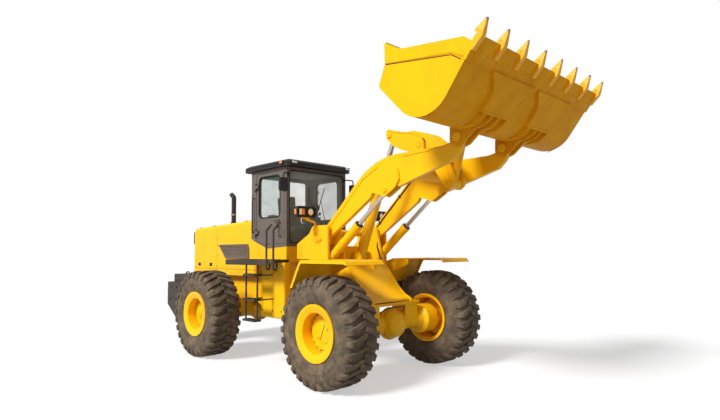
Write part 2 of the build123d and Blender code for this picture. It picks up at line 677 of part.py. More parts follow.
HANDRAIL_R = 16.0
HANDRAIL_X = (190.0, 372.0)
HANDRAIL_Y = DECK_Y + HANDRAIL_R + GAP
HANDRAIL_TOP = 2240.0
HANDRAIL_HOOK = 64.0         # depth of the hook under the deck


def handrail(x):
    """Left boarding handrail: hooked up under the deck, up its edge and in at the top."""
    under = DECK_Z - DECK_T - GAP
    leg = HANDRAIL_Y - HANDRAIL_HOOK
    points = [(x, leg, under), (x, leg, under - 95), (x, HANDRAIL_Y, under - 95),
              (x, HANDRAIL_Y, HANDRAIL_TOP - 90), (x, HANDRAIL_Y - 90, HANDRAIL_TOP)]
    return bent_bar(points, [31, 31, 80], HANDRAIL_R)


rails = [handrail(x) for x in HANDRAIL_X]
save("handrails", Compound(rails + [mirrored(rail) for rail in rails]))

# ---------------------------------------------------------------- steps and tanks
TANK_FRONT = 150.0
TANK_REAR = -490.0
TANK_Y = 800.0
TANK_LOW = 740.0
TANK_TOP = DECK_Z - DECK_T - GAP
SWING_NOTCH = ((-60.0, 380.0), (-10.0, 572.0))   # where the front half's corner swings in


def tank():
    """Left tank beside the frame, its inner front corner cut away for steering."""
    outline = [(TANK_REAR, TANK_TOP), (TANK_REAR, TANK_LOW, 40), (TANK_FRONT, TANK_LOW, 110),
               (TANK_FRONT, TANK_TOP)]
    block = side_plate(outline, RAIL_Y + GAP, TANK_Y)
    edges = [edge for edge in block.edges().filter_by(Axis.Z) if edge.center().Y > TANK_Y - 1]
    block = fillet(edges, 35)
    reach = TANK_FRONT + 50
    corner = SWING_NOTCH[1]
    notch = [SWING_NOTCH[0], corner, (reach, corner[1] + 0.72 * (reach - corner[0])), (reach, 380)]
    return block - plan_plate(notch, TANK_LOW - 10, TANK_TOP + 10)


LADDER_X = (-462.0, -138.0)
LADDER_Y = 1128.0
LADDER_R = 15.0
STEP_Z = (712.0, 1040.0, 1430.0)
STEP_T = 30.0


def ladder():
    """Left ladder: two round rails under the deck, three channel steps and two tank stays."""
    top = DECK_Z - 12 - GAP
    rails = []
    for x in LADDER_X:
        rails.append(rod_z(x, LADDER_Y - 22, LADDER_R, STEP_Z[0], top - 40))
    solid = rails[0].fuse(rails[1])
    x0, x1 = LADDER_X
    pieces = []
    for z in STEP_Z:
        step = box(x0 - 10, x1 + 10, LADDER_Y - 90, LADDER_Y + 40, z, z + STEP_T)
        step = step - box(x0 + 12, x1 - 12, LADDER_Y - 80, LADDER_Y + 30, z - 5, z + STEP_T - 8)
        pieces.append(step)
    for z in STEP_Z[1:]:
        pieces.append(box(x1 - 24, x1 + 8, TANK_Y + GAP, LADDER_Y - 20, z + 2, z + STEP_T - 10))
        pieces.append(box(x0 - 8, x0 + 24, TANK_Y + GAP, LADDER_Y - 20, z + 2, z + STEP_T - 10))
    return solid.fuse(*pieces)


save("side_tanks", pair(tank()))
save("ladders", pair(ladder()))

# ---------------------------------------------------------------- front frame
PLATE_IN = (395.0, 435.0)    # inner tower plate, |y| limits
PLATE_OUT = (615.0, 655.0)   # outer tower plate
ARM_Y = 525.0
ARM_T = 76.0
FRAME_LOW = 1010.0
FRAME_NOSE = 1760.0
SHELF_T = 40.0
BOOM_PIVOT = (800.0, 2000.0)
LIFT_BASE = (820.0, 1580.0)
LIFT_EYE = (2150.0, 2660.0)
TILT_BASE = (1080.0, 1730.0)
TILT_EYE = (1830.0, 3530.0)
CRANK_PIVOT = (2418.0, 3316.0)
LINK_LOW = (2880.0, 2720.0)
BUCKET_PIN = (3365.0, 3195.0)
LINK_HIGH = (3070.0, 3386.0)
BASE_PIN_R = 40.0
BRACKET_Y = (90.0, 125.0)    # tilt cylinder's brackets, |y| limits
FRONT_WALL = (330.0, 380.0)
POST_X = 775.0
POD_Z = (2330.0, 2500.0)

FRONT_EDGE = [
    # front edge of the inner tower plates, from the top down
    (1040, 2215, 40), (1120, 1900, 200), (1200, 1640, 200), (1520, 1250, 300),
]
OUTER_TOWER = [
    (610, 1400), (610, 1700, 20), (300, 1700, 20), (300, 1935, 20), (600, 2090, 60), (700, 2215, 60),
    (1040, 2215, 30), (1040, 1640, 40), (900, 1400),
]


def headlamp_post():
    """Left headlamp's post with its foot and its pad."""
    y = PLATE_OUT[1] + 20
    post = bent_bar([(POST_X, y, 2100), (POST_X, y, 2265), (POST_X, 870, POD_Z[0] - 24)], [50], 16)
    foot = box(POST_X - 32, POST_X + 32, PLATE_OUT[1] - 1, y + 10, 2085, 2185)
    pad = box(POST_X - 26, POST_X + 26, 800, 940, POD_Z[0] - 14, POD_Z[0] - GAP)
    return post.fuse(foot, pad)


def front_frame():
    """Tower plates, cross members, cylinder brackets and the front hinge plates, as one
    weldment. It is parted at TOWER_SEAM afterwards."""
    tower_in = [
        (330, 1200, 20), (610, 1400, 80), (610, 2100, 60), (700, 2215, 60), *FRONT_EDGE,
        (1640, 1150, 60), (1690, 1130, 50), (FRAME_NOSE, 1090, 40), (FRAME_NOSE, FRAME_LOW),
        (FRONT_WALL[0], FRAME_LOW),
    ]
    solid = side_plate(tower_in, *PLATE_IN)
    pieces = [mirrored(solid)]
    y0, y1 = PLATE_IN[1] - 5, PLATE_OUT[0] + 5
    outer = side_plate(OUTER_TOWER, *PLATE_OUT)
    side_pieces = [
        outer,
        box(610, 645, y0, y1, 1400, 2080),
        box(610, 900, y0, y1, 1400, 1400 + SHELF_T),
        box(1480, FRAME_NOSE, y0 - 10, 610, FRAME_LOW, FRAME_LOW + SHELF_T),
        rod_y(*BOOM_PIVOT, PIN_R, PLATE_IN[0] - 20, PLATE_OUT[1] + 14),
        rod_y(*BOOM_PIVOT, PIN_R + 22, PLATE_OUT[1] - 1, PLATE_OUT[1] + 8),
        rod_y(*LIFT_BASE, BASE_PIN_R, PLATE_IN[0] - 20, PLATE_OUT[1] + 14),
        rod_y(*LIFT_BASE, BASE_PIN_R + 20, PLATE_OUT[1] - 1, PLATE_OUT[1] + 8),
        headlamp_post(),
    ]
    y0, y1 = STEER_EYE[1] - 60, STEER_EYE[1] + 60
    for low, high in ((STEER_Z - 100, STEER_Z - 60), (STEER_Z + 60, STEER_Z + 100)):
        ear = [(FRONT_WALL[0] + 5, y0 - 30), (STEER_EYE[0] - 60, y0, 50), (STEER_EYE[0] - 60, y1, 50),
               (FRONT_WALL[0] + 5, y1 + 60)]
        side_pieces.append(plan_plate(ear, low, high))
    bracket = [
        (940, FRAME_LOW + 10), (985, 1810, 70), (1175, 1810, 70), (1330, 1420, 80), (1560, 1150, 60),
        (1600, FRAME_LOW + 10),
    ]
    side_pieces.append(side_plate(bracket, *BRACKET_Y))
    for piece in side_pieces:
        pieces.append(piece)
        pieces.append(mirrored(piece))
    nose_plate = [
        (1205, 1615), (1520, 1240, 300), (1640, 1140, 60), (1700, 1120, 40), (1740, 1095), (1740, 1065),
        (1690, 1090, 40), (1620, 1115, 60), (1500, 1205, 280), (1180, 1595),
    ]
    half = PLATE_IN[0] + 5
    pieces.append(side_plate(nose_plate, -half, half))
    pieces.append(box(*FRONT_WALL, -half, half, 634, 1215))
    pieces.append(box(FRONT_WALL[0], FRAME_NOSE, -half, half, FRAME_LOW, FRAME_LOW + SHELF_T))
    pieces.append(box(610, 640, -half, half, 1400, 1900))
    pieces.append(rod_y(760, 2110, 50, -half, half))
    for z0, z1 in LUG_Z:
        for low, high in ((z1 + RUN, z1 + RUN + HINGE_FORK), (z0 - RUN - HINGE_FORK, z0 - RUN)):
            pieces.append(box(0, FRONT_WALL[0] + 10, -HINGE_R, HINGE_R, low, high))
            pieces.append(rod_z(0, 0, HINGE_R, low, high))
    pieces.append(rod_y(*TILT_BASE, BASE_PIN_R, -BRACKET_Y[1] - 12, BRACKET_Y[1] + 12))
    solid = solid.fuse(*pieces)
    shaft_hole = rod_x(0, shaft_height(sum(FRONT_WALL) / 2), BEARING_R + GAP,
                       FRONT_WALL[0] - 5, FRONT_WALL[1] + 5)
    return solid - rod_z(0, 0, PIN_R + PIN_PLAY, 500, 1400) - shaft_hole


TOWER_SEAM = PLATE_IN[1] + 2.0               # |y| where the outer towers are welded on
FRONT_HALF = front_frame()
save("front_frame", FRONT_HALF & box(-400, 2000, -TOWER_SEAM, TOWER_SEAM, 0, 3000))
tower = FRONT_HALF & box(-400, 2000, TOWER_SEAM + GAP, 2000, 0, 3000)
save("front_towers", Compound([*tower.solids(), *mirrored(tower).solids()]))
save("front_axle", axle(FRONT, FRAME_LOW, -1))

FENDER_Y = 1350.0
FENDER_T = 8.0


def fender():
    """Left front wheel guard: a folded sheet with a turned-down edge, ribs and the plate by
    which it hangs on the tower."""
    y0 = PLATE_OUT[1] + GAP
    fold = [
        (1030, 1310), (1240, 1700, 90), (2150, 1700, 60), (2195, 1640), (2187, 1636), (2146, 1692, 52),
        (1244, 1692, 82), (1038, 1306),
    ]
    lip = [
        (1030, 1310), (1240, 1700, 90), (2150, 1700, 60), (2195, 1640), (2160, 1640), (2140, 1655, 40),
        (1262, 1655, 60), (1075, 1310),
    ]
    mount = [
        (930, 1450, 20), (930, 1620, 20), (1180, 1696), (1500, 1696), (1500, 1610, 30), (1120, 1440, 40),
    ]
    pieces = [side_plate(lip, FENDER_Y - 12, FENDER_Y), side_plate(mount, y0, y0 + 12)]
    for x in (1400, 1760, 2060):
        pieces.append(box(x - 20, x + 20, y0, FENDER_Y - 5, 1684, 1694))
    return side_plate(fold, y0, FENDER_Y).fuse(*pieces)


def headlamp_pod():
    """Left headlamp pod: a rounded housing with a hood over the round lamp."""
    y0, y1 = 690.0, 1050.0
    low, high = POD_Z
    pod = cross_plate([(y0, low, 30), (y1, low, 30), (y1, high, 40), (y0, high, 40)],
                      POST_X - 45, POST_X + 35)
    pod = pod - cross_plate([(y0 + 18, low + 22, 22), (y1 - 18, low + 22, 22), (y1 - 18, high - 22, 26),
                             (y0 + 18, high - 22, 26)], POST_X + 15, POST_X + 40)
    lamp = rod_x(y0 + 100, (low + high) / 2, 52, POST_X + 10, POST_X + 30)
    signal = box(POST_X + 10, POST_X + 28, y1 - 150, y1 - 40, low + 35, high - 35)
    return pod.fuse(lamp, signal)


save("front_fenders", pair(fender()))
save("headlamps", pair(headlamp_pod()))

# ---------------------------------------------------------------- drive shafts
SHAFT_END = 80.0             # how far short of the articulation each shaft ends


def drive_shaft(side, wall):
    """Shaft from an axle's nose to the articulation, with its flange, yokes and the bearing
    that the frame's wall carries. side is +1 for the front half."""
    face = side * (NOSE_AT - GAP)
    start = Vector(face - side * 12, 0, AXLE_Z)
    end = Vector(side * SHAFT_END, 0, shaft_height(SHAFT_END))
    run = (end - start).normalized()
    yoke_in = start + run * 110
    yoke_out = end - run * 70
    middle = side * abs(sum(wall)) / 2
    shaft = rod_between(start, end, SHAFT_R - 8)
    flange = rod_x(0, AXLE_Z, 70, face, face - side * 18)
    bearing = rod_x(0, shaft_height(middle), BEARING_R, middle - side * 8, middle + side * 35)
    return shaft.fuse(flange, rod_between(start, yoke_in, SHAFT_R), bearing,
                      rod_between(yoke_out, end, SHAFT_R))


save("front_drive_shaft", drive_shaft(1, FRONT_WALL))
save("rear_drive_shaft", drive_shaft(-1, BEARING_WALL))

# ---------------------------------------------------------------- boom
PIVOT_BOSS_R = 120.0
NOSE_BOSS_R = 82.0
TUBE = (2400.0, 2916.0)
TUBE_R = 110.0
CRANK_BRACKET_Y = (140.0, 175.0)
CRANK_PIN_R = 55.0
LUG_T = 30.0

ARM_OUTLINE = [
    (730, 2070, 40), (923, 2214), (1925, 3128, 1200), (3118, 3128, 200), (3265, 3158, 40),
    (3318, 3255, 30), (3405, 3268, 30), (3446, 3205, 40), (3385, 3045, 80), (3268, 2932, 120),
    (2367, 2680, 30),
    (2320, 2790, 20), (2290, 2830, 30), (1990, 2830, 70), (1850, 2575, 60), (1010, 2045, 120),
    (880, 1990, 60), (800, 1885, 60),
]
LUG_OUTLINE = [
    # cheek plates over the arm's notch, where the lift cylinder's rod is pinned
    (1880, 2640, 30), (2065, 2592, 40), (2125, 2556, 30), (2190, 2588, 40), (2330, 2668, 30),
    (2420, 2790, 80), (2390, 2930, 60), (1960, 2930, 60),
]


def boom_side():
    """Left arm with its pivot boss, nose boss and the lift cylinder's cheek plates."""
    half = ARM_T / 2
    arm = side_plate(ARM_OUTLINE, ARM_Y - half, ARM_Y + half)
    pieces = [
        rod_y(*BOOM_PIVOT, PIVOT_BOSS_R, PLATE_IN[1] + RUN, PLATE_OUT[0] - RUN),
        rod_y(*BUCKET_PIN, NOSE_BOSS_R, ARM_Y - half - 3, ARM_Y + half + 3),
    ]
    for inner, outer in ((ARM_Y - half - LUG_T, ARM_Y - half), (ARM_Y + half, ARM_Y + half + LUG_T)):
        pieces.append(side_plate(LUG_OUTLINE, inner, outer))
    for y in (ARM_Y - half - LUG_T - 3, ARM_Y + half + LUG_T + 3):
        pieces.append(rod_y(*LIFT_EYE, 52, y - 4, y + 4))
    return arm.fuse(*pieces)


def boom():
    """Two arms, the cross tube with its end flanges and the bell crank's brackets."""
    left = boom_side()
    pieces = [mirrored(left), rod_y(*TUBE, TUBE_R, -ARM_Y, ARM_Y)]
    bracket = [
        (2270, 2860, 40), (2330, 3320, 30), (2375, 3410, 60), (2461, 3410, 60), (2506, 3320, 30),
        (2530, 2860, 40),
    ]
    for side in (1, -1):
        pieces.append(side_plate(bracket, side * CRANK_BRACKET_Y[0], side * CRANK_BRACKET_Y[1]))
        flange = side * (ARM_Y - ARM_T / 2)
        pieces.append(rod_y(*TUBE, TUBE_R + 35, flange - side * 20, flange + side * 5))
    pieces.append(rod_y(*CRANK_PIVOT, CRANK_PIN_R, -CRANK_BRACKET_Y[1] - 8, CRANK_BRACKET_Y[1] + 8))
    solid = left.fuse(*pieces)
    pivot = rod_y(*BOOM_PIVOT, PIN_R + PIN_PLAY, -700, 700)
    nose = rod_y(*BUCKET_PIN, PIN_R + PIN_PLAY, -700, 700)
    return solid - pivot - nose


save("boom", boom())

CRANK_Y = (85.0, 120.0)
LINK_PIN_R = 40.0
BUCKET_LINK_PIN_R = 30.0
EYE_PLAY = 10.0              # a rod's eye is this much narrower than the gap it works in
CRANK_OUTLINE = [
    (1768, 3490, 30), (1762, 3600, 30), (1806, 3631, 30), (1955, 3579, 200), (2157, 3527, 200),
    (2282, 3529, 120), (2564, 3441, 200), (2672, 3352, 200), (2798, 3236, 300), (2990, 2800, 100),
    (2990, 2690, 70), (2899, 2630, 50), (2806, 2679, 60), (2662, 2903, 200), (2560, 3060, 200),
    (2400, 3180, 300), (2073, 3273, 300), (1886, 3373, 100),
]


def bell_crank():
    """Bell crank of two plates on one hub, with a web between them."""
    plate = side_plate(CRANK_OUTLINE, *CRANK_Y)
    hub = rod_y(*CRANK_PIVOT, 95, -CRANK_BRACKET_Y[0] + RUN, CRANK_BRACKET_Y[0] - RUN)
    low_pin = rod_y(*LINK_LOW, LINK_PIN_R, -CRANK_Y[1] - 10, CRANK_Y[1] + 10)
    web = side_plate([(2150, 3340), (2150, 3375), (2560, 3340), (2620, 3220), (2590, 3200),
                      (2530, 3290)], -CRANK_Y[0] - 2, CRANK_Y[0] + 2)
    cap = rod_y(*TILT_EYE, 45, CRANK_Y[1] - 1, CRANK_Y[1] + 8)
    solid = plate.fuse(mirrored(plate), hub, low_pin, web, cap, mirrored(cap))
    return solid - rod_y(*CRANK_PIVOT, CRANK_PIN_R + PIN_PLAY, -200, 200)


def tilt_link():
    """Link from the bell crank to the bucket."""
    half = CRANK_Y[0] - 6
    bar = rod_between((LINK_LOW[0], 0, LINK_LOW[1]), (LINK_HIGH[0], 0, LINK_HIGH[1]), 50)
    link = bar.fuse(rod_y(*LINK_LOW, 82, -half, half), rod_y(*LINK_HIGH, 60, -half, half))
    link = link - rod_y(*LINK_LOW, LINK_PIN_R + PIN_PLAY, -100, 100)
    return link - rod_y(*LINK_HIGH, BUCKET_LINK_PIN_R + PIN_PLAY, -100, 100)


save("bell_crank", bell_crank())
save("tilt_link", tilt_link())

# ---------------------------------------------------------------- bucket
# The bucket is laid out in its own frame: s along the floor towards the cutting edge, t up
# off the floor. As the machine stands, it is rolled back by BUCKET_TURN.
BUCKET_Y = 1483.0
BUCKET_AT = (4085.0, 3750.0)
BUCKET_TURN = 53.13
SIDE_T = 30.0
STRIP_PROUD = 8.0
EDGE_REACH = 267.0
BUCKET_PLACE = Pos(BUCKET_AT[0], 0, BUCKET_AT[1]) * Rot(0, -BUCKET_TURN, 0)


def in_bucket(point):
    """The machine's (x, z) as (s, t) in the bucket's own frame."""
    x = point[0] - BUCKET_AT[0]
    z = point[1] - BUCKET_AT[1]
    turn = radians(BUCKET_TURN)
    return (x * cos(turn) + z * sin(turn), z * cos(turn) - x * sin(turn))


PIN_ST = in_bucket(BUCKET_PIN)
LINK_ST = in_bucket(LINK_HIGH)
SHELL = [
    (0, 0), (-884, 0, 410), (-736, 946, 60), (-466, 1017, 60), (-273, 1164), (-258, 1144),
    (-455, 994, 60), (-714, 926, 40), (-855, 25, 385), (0, 25),
]
CHEEK = [
    (180, 0), (180, 146), (-241, 887, 200), (-273, 1164, 12), (-466, 1017, 60), (-736, 946, 60),
    (-884, 0, 410),
]
STRIP = [
    (180, 0), (180, 146), (-241, 887, 200), (-273, 1164, 12), (-440, 1034), (-468, 1010), (-11, 197, 60),
    (15, 24), (15, 0),
]
EAR = [
    (-740, 430), (-840, 400, 40), (-985, 300, 60), (-985, 190, 60), (-890, 120, 60), (-680, 70), (-640, 150),
]
LINK_EAR = [
    (-770, 420), (-960, 520, 60), (-970, 640, 60), (-860, 700, 60), (-760, 790), (-740, 600),
]
RIB = [(-426, -56), (-426, 14), (-520, 40), (-600, 76), (-690, 140), (-720, 118, 20), (-600, 0, 120), (-500, -48, 60)]
BEAM_PLAN = [(0, 30), (0, 990), (-190, 810, 60), (-430, 810), (-430, 220), (-190, 220, 60)]
BEAM_DEEP = 48.0
BUCKET_EARS = ((445.0, 475.0), (575.0, 605.0))
LINK_EARS = (90.0, 120.0)
RIB_MIDDLES = (270.0, 460.0, 590.0, 760.0)


def bucket():
    """Bucket shell, side plates with their edge strips, cutting edge, beams and ears."""
    shell = side_plate(SHELL, -BUCKET_Y + 10, BUCKET_Y - 10)
    edge = [(-12, -15), (-12, 25), (235, 25), (EDGE_REACH, 8), (EDGE_REACH, -15)]
    pieces = [side_plate(edge, -BUCKET_Y, BUCKET_Y)]
    side_pieces = [
        side_plate(CHEEK, BUCKET_Y - STRIP_PROUD - SIDE_T, BUCKET_Y - STRIP_PROUD),
        side_plate(STRIP, BUCKET_Y - STRIP_PROUD - 1, BUCKET_Y),
        rod_y(*PIN_ST, PIN_R, BUCKET_EARS[0][0] - 8, BUCKET_EARS[1][1] + 8),
        side_plate(LINK_EAR, *LINK_EARS),
        rod_y(*LINK_ST, BUCKET_LINK_PIN_R, LINK_EARS[0] + 3, LINK_EARS[1] + 8),
        plan_plate(BEAM_PLAN, -BEAM_DEEP, 4),
        box(-452, -426, 220, 810, -BEAM_DEEP - 10, 14),
    ]
    for y0, y1 in BUCKET_EARS:
        side_pieces.append(side_plate(EAR, y0, y1).fuse(rod_y(*PIN_ST, 98, y0, y1)))
    for y in RIB_MIDDLES:
        side_pieces.append(side_plate(RIB, y - 12, y + 12))
    for piece in side_pieces:
        pieces.append(piece)
        pieces.append(mirrored(piece))
    return BUCKET_PLACE * shell.fuse(*pieces)


TOOTH_COUNT = 8
TOOTH_PITCH = 415.0
TOOTH_HALF = 32.0
TOOTH_TIP = 438.0
TOOTH = [
    (100, -15.3), (100, -35, 10), (270, -60, 40), (TOOTH_TIP, 0), (TOOTH_TIP, 8), (300, 50, 10),
    (EDGE_REACH + GAP, 50), (EDGE_REACH + GAP, -15.3),
]


def teeth():
    """Bucket teeth: adapters hooked under the cutting edge, with pointed tips."""
    solids = []
    for k in range(TOOTH_COUNT):
        y = (k - (TOOTH_COUNT - 1) / 2) * TOOTH_PITCH
        tooth = side_plate(TOOTH, y - TOOTH_HALF, y + TOOTH_HALF)
        cut = plan_plate([(250, y + 60), (TOOTH_TIP + 5, y + 60), (TOOTH_TIP + 5, y + 14),
                          (300, y + TOOTH_HALF + 1), (250, y + TOOTH_HALF + 1)], -80, 80)
        twin = plan_plate([(250, y - 60), (TOOTH_TIP + 5, y - 60), (TOOTH_TIP + 5, y - 14),
                           (300, y - TOOTH_HALF - 1), (250, y - TOOTH_HALF - 1)], -80, 80)
        solids.append(BUCKET_PLACE * (tooth - cut - twin))
    return Compound(solids)


save("bucket", bucket())
save("bucket_teeth", teeth())

# ---------------------------------------------------------------- cylinders
# Each cylinder is modelled along +X from its base pin, its pins along Y, and then placed.


def barrel(length, radius, rod_r, bore_from, eye_r, eye_half, pin_r):
    """Bored barrel with its gland, base eye and two port bosses."""
    tube = turned([
        (0, 0.5 * eye_r), (radius - 12, 0.5 * eye_r), (radius - 4, eye_r, 8), (radius - 4, length - 70),
        (radius, length - 70), (radius, length, 6), (rod_r + PIN_PLAY, length),
        (rod_r + PIN_PLAY, bore_from), (0, bore_from),
    ])
    solid = (Rot(0, 90, 0) * tube).fuse(rod_y(0, 0, eye_r, -eye_half, eye_half))
    return solid - rod_y(0, 0, pin_r + PIN_PLAY, -eye_half - 5, eye_half + 5)


def piston_rod(start, length, rod_r, eye_r, eye_half):
    """Piston rod from inside its barrel to the eye's pin, length from the base pin."""
    rod = rod_x(0, 0, rod_r, start, length - 0.5 * eye_r)
    return rod.fuse(rod_y(length, 0, eye_r, -eye_half, eye_half))


def upright_place(base, eye, y):
    """Place of a cylinder that swings in the X-Z plane, and its length between pins."""
    rise = atan2(eye[1] - base[1], eye[0] - base[0])
    reach = hypot(eye[0] - base[0], eye[1] - base[1])
    return Pos(base[0], y, base[1]) * Rot(0, -degrees(rise), 0), reach


EYE_HALF = ARM_T / 2 - EYE_PLAY / 2 - 4
for name, side in (("left", 1), ("right", -1)):
    place, reach = upright_place(LIFT_BASE, LIFT_EYE, side * ARM_Y)
    save("lift_barrel_" + name, place * barrel(987, 72, 32, 190, 78, 78, BASE_PIN_R))
    save("lift_rod_" + name, place * piston_rod(630, reach, 32, 55, EYE_HALF))
place, reach = upright_place(TILT_BASE, TILT_EYE, 0)
save("tilt_barrel", place * barrel(1150, 80, 42, 330, 78, 78, BASE_PIN_R))
save("tilt_rod", place * piston_rod(720, reach, 42, 70, CRANK_Y[0] - EYE_PLAY))
for name, side in (("left", 1), ("right", -1)):
    turn = atan2(side * (STEER_EYE[1] - STEER_BASE[1]), STEER_EYE[0] - STEER_BASE[0])
    reach = hypot(STEER_EYE[0] - STEER_BASE[0], STEER_EYE[1] - STEER_BASE[1])
    place = Pos(STEER_BASE[0], side * STEER_BASE[1], STEER_Z) * Rot(0, 0, degrees(turn)) * Rot(90, 0, 0)
    save("steer_barrel_" + name, place * barrel(500, 48, 26, 90, 52, 45, STEER_PIN_R))
    save("steer_rod_" + name, place * piston_rod(300, reach, 26, 45, 45))

# ---------------------------------------------------------------- rear lamps


def rear_lamps():
    """Rear lamp clusters on the counterweight's step, beside the grille."""
    x = WEIGHT_STEP_X - GAP
    lamp = box(x - 26, x, 690, 870, 1250, 1340)
    edges = lamp.edges().filter_by(Axis.X)
    return pair(fillet(edges, 16))


save("rear_lamps", rear_lamps())

# ---------------------------------------------------------------- write
for name, solid in PARTS.items():
    export_step(Pos(ORIGIN_SHIFT_X, 0, 0) * solid, "parts/" + name + ".step")
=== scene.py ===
"""Dresses the articulated wheel loader for its render.

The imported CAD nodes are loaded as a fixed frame. Each class below builds or finishes one
sub-assembly of the machine, and main() runs them in order. Sizes are written in
millimetres from the articulation pin, as the machine is laid out, and turned to metres in
the frame's own axes by at().
"""
from __future__ import annotations

import json
import logging
import math
from collections.abc import Iterable, Sequence
from dataclasses import dataclass, field
from enum import Enum

import bmesh
import bpy
from mathutils import Matrix, Vector

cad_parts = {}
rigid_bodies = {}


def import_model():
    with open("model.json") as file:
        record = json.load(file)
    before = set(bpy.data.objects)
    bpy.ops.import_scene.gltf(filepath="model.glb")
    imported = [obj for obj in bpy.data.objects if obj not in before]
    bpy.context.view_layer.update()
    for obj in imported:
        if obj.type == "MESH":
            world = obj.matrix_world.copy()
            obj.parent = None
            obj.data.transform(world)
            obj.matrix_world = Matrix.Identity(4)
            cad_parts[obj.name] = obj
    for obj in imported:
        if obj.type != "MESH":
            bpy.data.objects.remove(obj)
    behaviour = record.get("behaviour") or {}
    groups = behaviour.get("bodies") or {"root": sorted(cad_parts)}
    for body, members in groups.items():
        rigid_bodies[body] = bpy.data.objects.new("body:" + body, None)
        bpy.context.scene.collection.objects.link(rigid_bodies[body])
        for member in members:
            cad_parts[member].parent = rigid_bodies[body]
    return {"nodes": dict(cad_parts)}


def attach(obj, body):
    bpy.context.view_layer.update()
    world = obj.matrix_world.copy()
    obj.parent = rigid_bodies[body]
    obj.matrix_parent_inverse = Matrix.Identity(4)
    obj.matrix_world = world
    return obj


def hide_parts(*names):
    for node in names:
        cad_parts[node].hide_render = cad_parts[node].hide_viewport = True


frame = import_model()

LOG = logging.getLogger("loader")
ORIGIN_X = -394.0            # the articulation pin from the frame's origin, in millimetres
CRISP = 32.0                 # folds sharper than this many degrees stay crisp
AXLE_X = 1625.0              # both axles lie this far from the articulation pin
AXLE_Z = 748.0
HANDS = ((1, "left"), (-1, "right"))
Point = tuple[float, float, float]
Pair = tuple[float, float]
Spot = tuple[Point, Point]    # where a bolt sits and the way it faces


def at(x: float, y: float, z: float) -> Vector:
    """Turn a point in millimetres from the articulation pin into the frame's metres.

    Args:
        x: Forward of the articulation pin.
        y: Towards the machine's left.
        z: Above the ground.

    Returns:
        The point in metres.
    """
    return Vector(((x + ORIGIN_X) / 1000.0, y / 1000.0, z / 1000.0))


def linear(code: str) -> tuple[float, float, float, float]:
    """Turn an sRGB hex colour into linear light.

    Args:
        code: Six hexadecimal digits, two each for red, green and blue.

    Returns:
        The linear colour with an alpha of one.
    """
    parts = [int(code[i:i + 2], 16) / 255.0 for i in (0, 2, 4)]
    lin = [v / 12.92 if v <= 0.04045 else ((v + 0.055) / 1.055) ** 2.4 for v in parts]
    return (lin[0], lin[1], lin[2], 1.0)


def per_mm(spacing: float) -> float:
    """Turn a pattern's real spacing in millimetres into a texture scale in metres."""
    return 1000.0 / spacing


def per_half_wave(spacing: float) -> float:
    """Turn half the spacing of a wave's crests in millimetres into a wave texture's scale."""
    return per_mm(spacing) / 6.28


def drive(tree: bpy.types.NodeTree, node: bpy.types.Node, values: dict | None = None,
          links: dict | None = None) -> None:
    """Give a node its input values and links.

    Args:
        tree: The tree that holds the node.
        node: The node.
        values: Input socket, by name or place, to its value.
        links: Input socket, by name or place, to the output that feeds it.
    """
    for socket, value in (values or {}).items():
        node.inputs[socket].default_value = value
    for socket, source in (links or {}).items():
        tree.links.new(source, node.inputs[socket])


def add(tree: bpy.types.NodeTree, kind: str, values: dict | None = None,
        links: dict | None = None, **settings: object) -> bpy.types.Node:
    """Add a node with its settings, input values and links.

    Args:
        tree: The tree that receives the node.
        kind: The node's type.
        values: Input socket, by name or place, to its value.
        links: Input socket, by name or place, to the output that feeds it.
        settings: Attributes of the node itself.

    Returns:
        The new node.
    """
    node = tree.nodes.new(kind)
    for name, value in settings.items():
        setattr(node, name, value)
    drive(tree, node, values, links)
    return node


# ---------------------------------------------------------------- finishes


def blank(name: str) -> tuple[bpy.types.Material, bpy.types.Node, dict]:
    """Start a node material.

    Args:
        name: The material's name.

    Returns:
        The material, its shader, and the link that feeds a pattern the object's coordinates.
    """
    mat = bpy.data.materials.new(name)
    mat.use_nodes = True
    place = add(mat.node_tree, "ShaderNodeTexCoord")
    return mat, mat.node_tree.nodes["Principled BSDF"], {"Vector": place.outputs["Object"]}


class Pattern(Enum):
    """Between which noise levels a stain sets in on a painted surface."""

    DUSTY = (0.70, 1.02)
    SCUFFED = (0.62, 0.90)


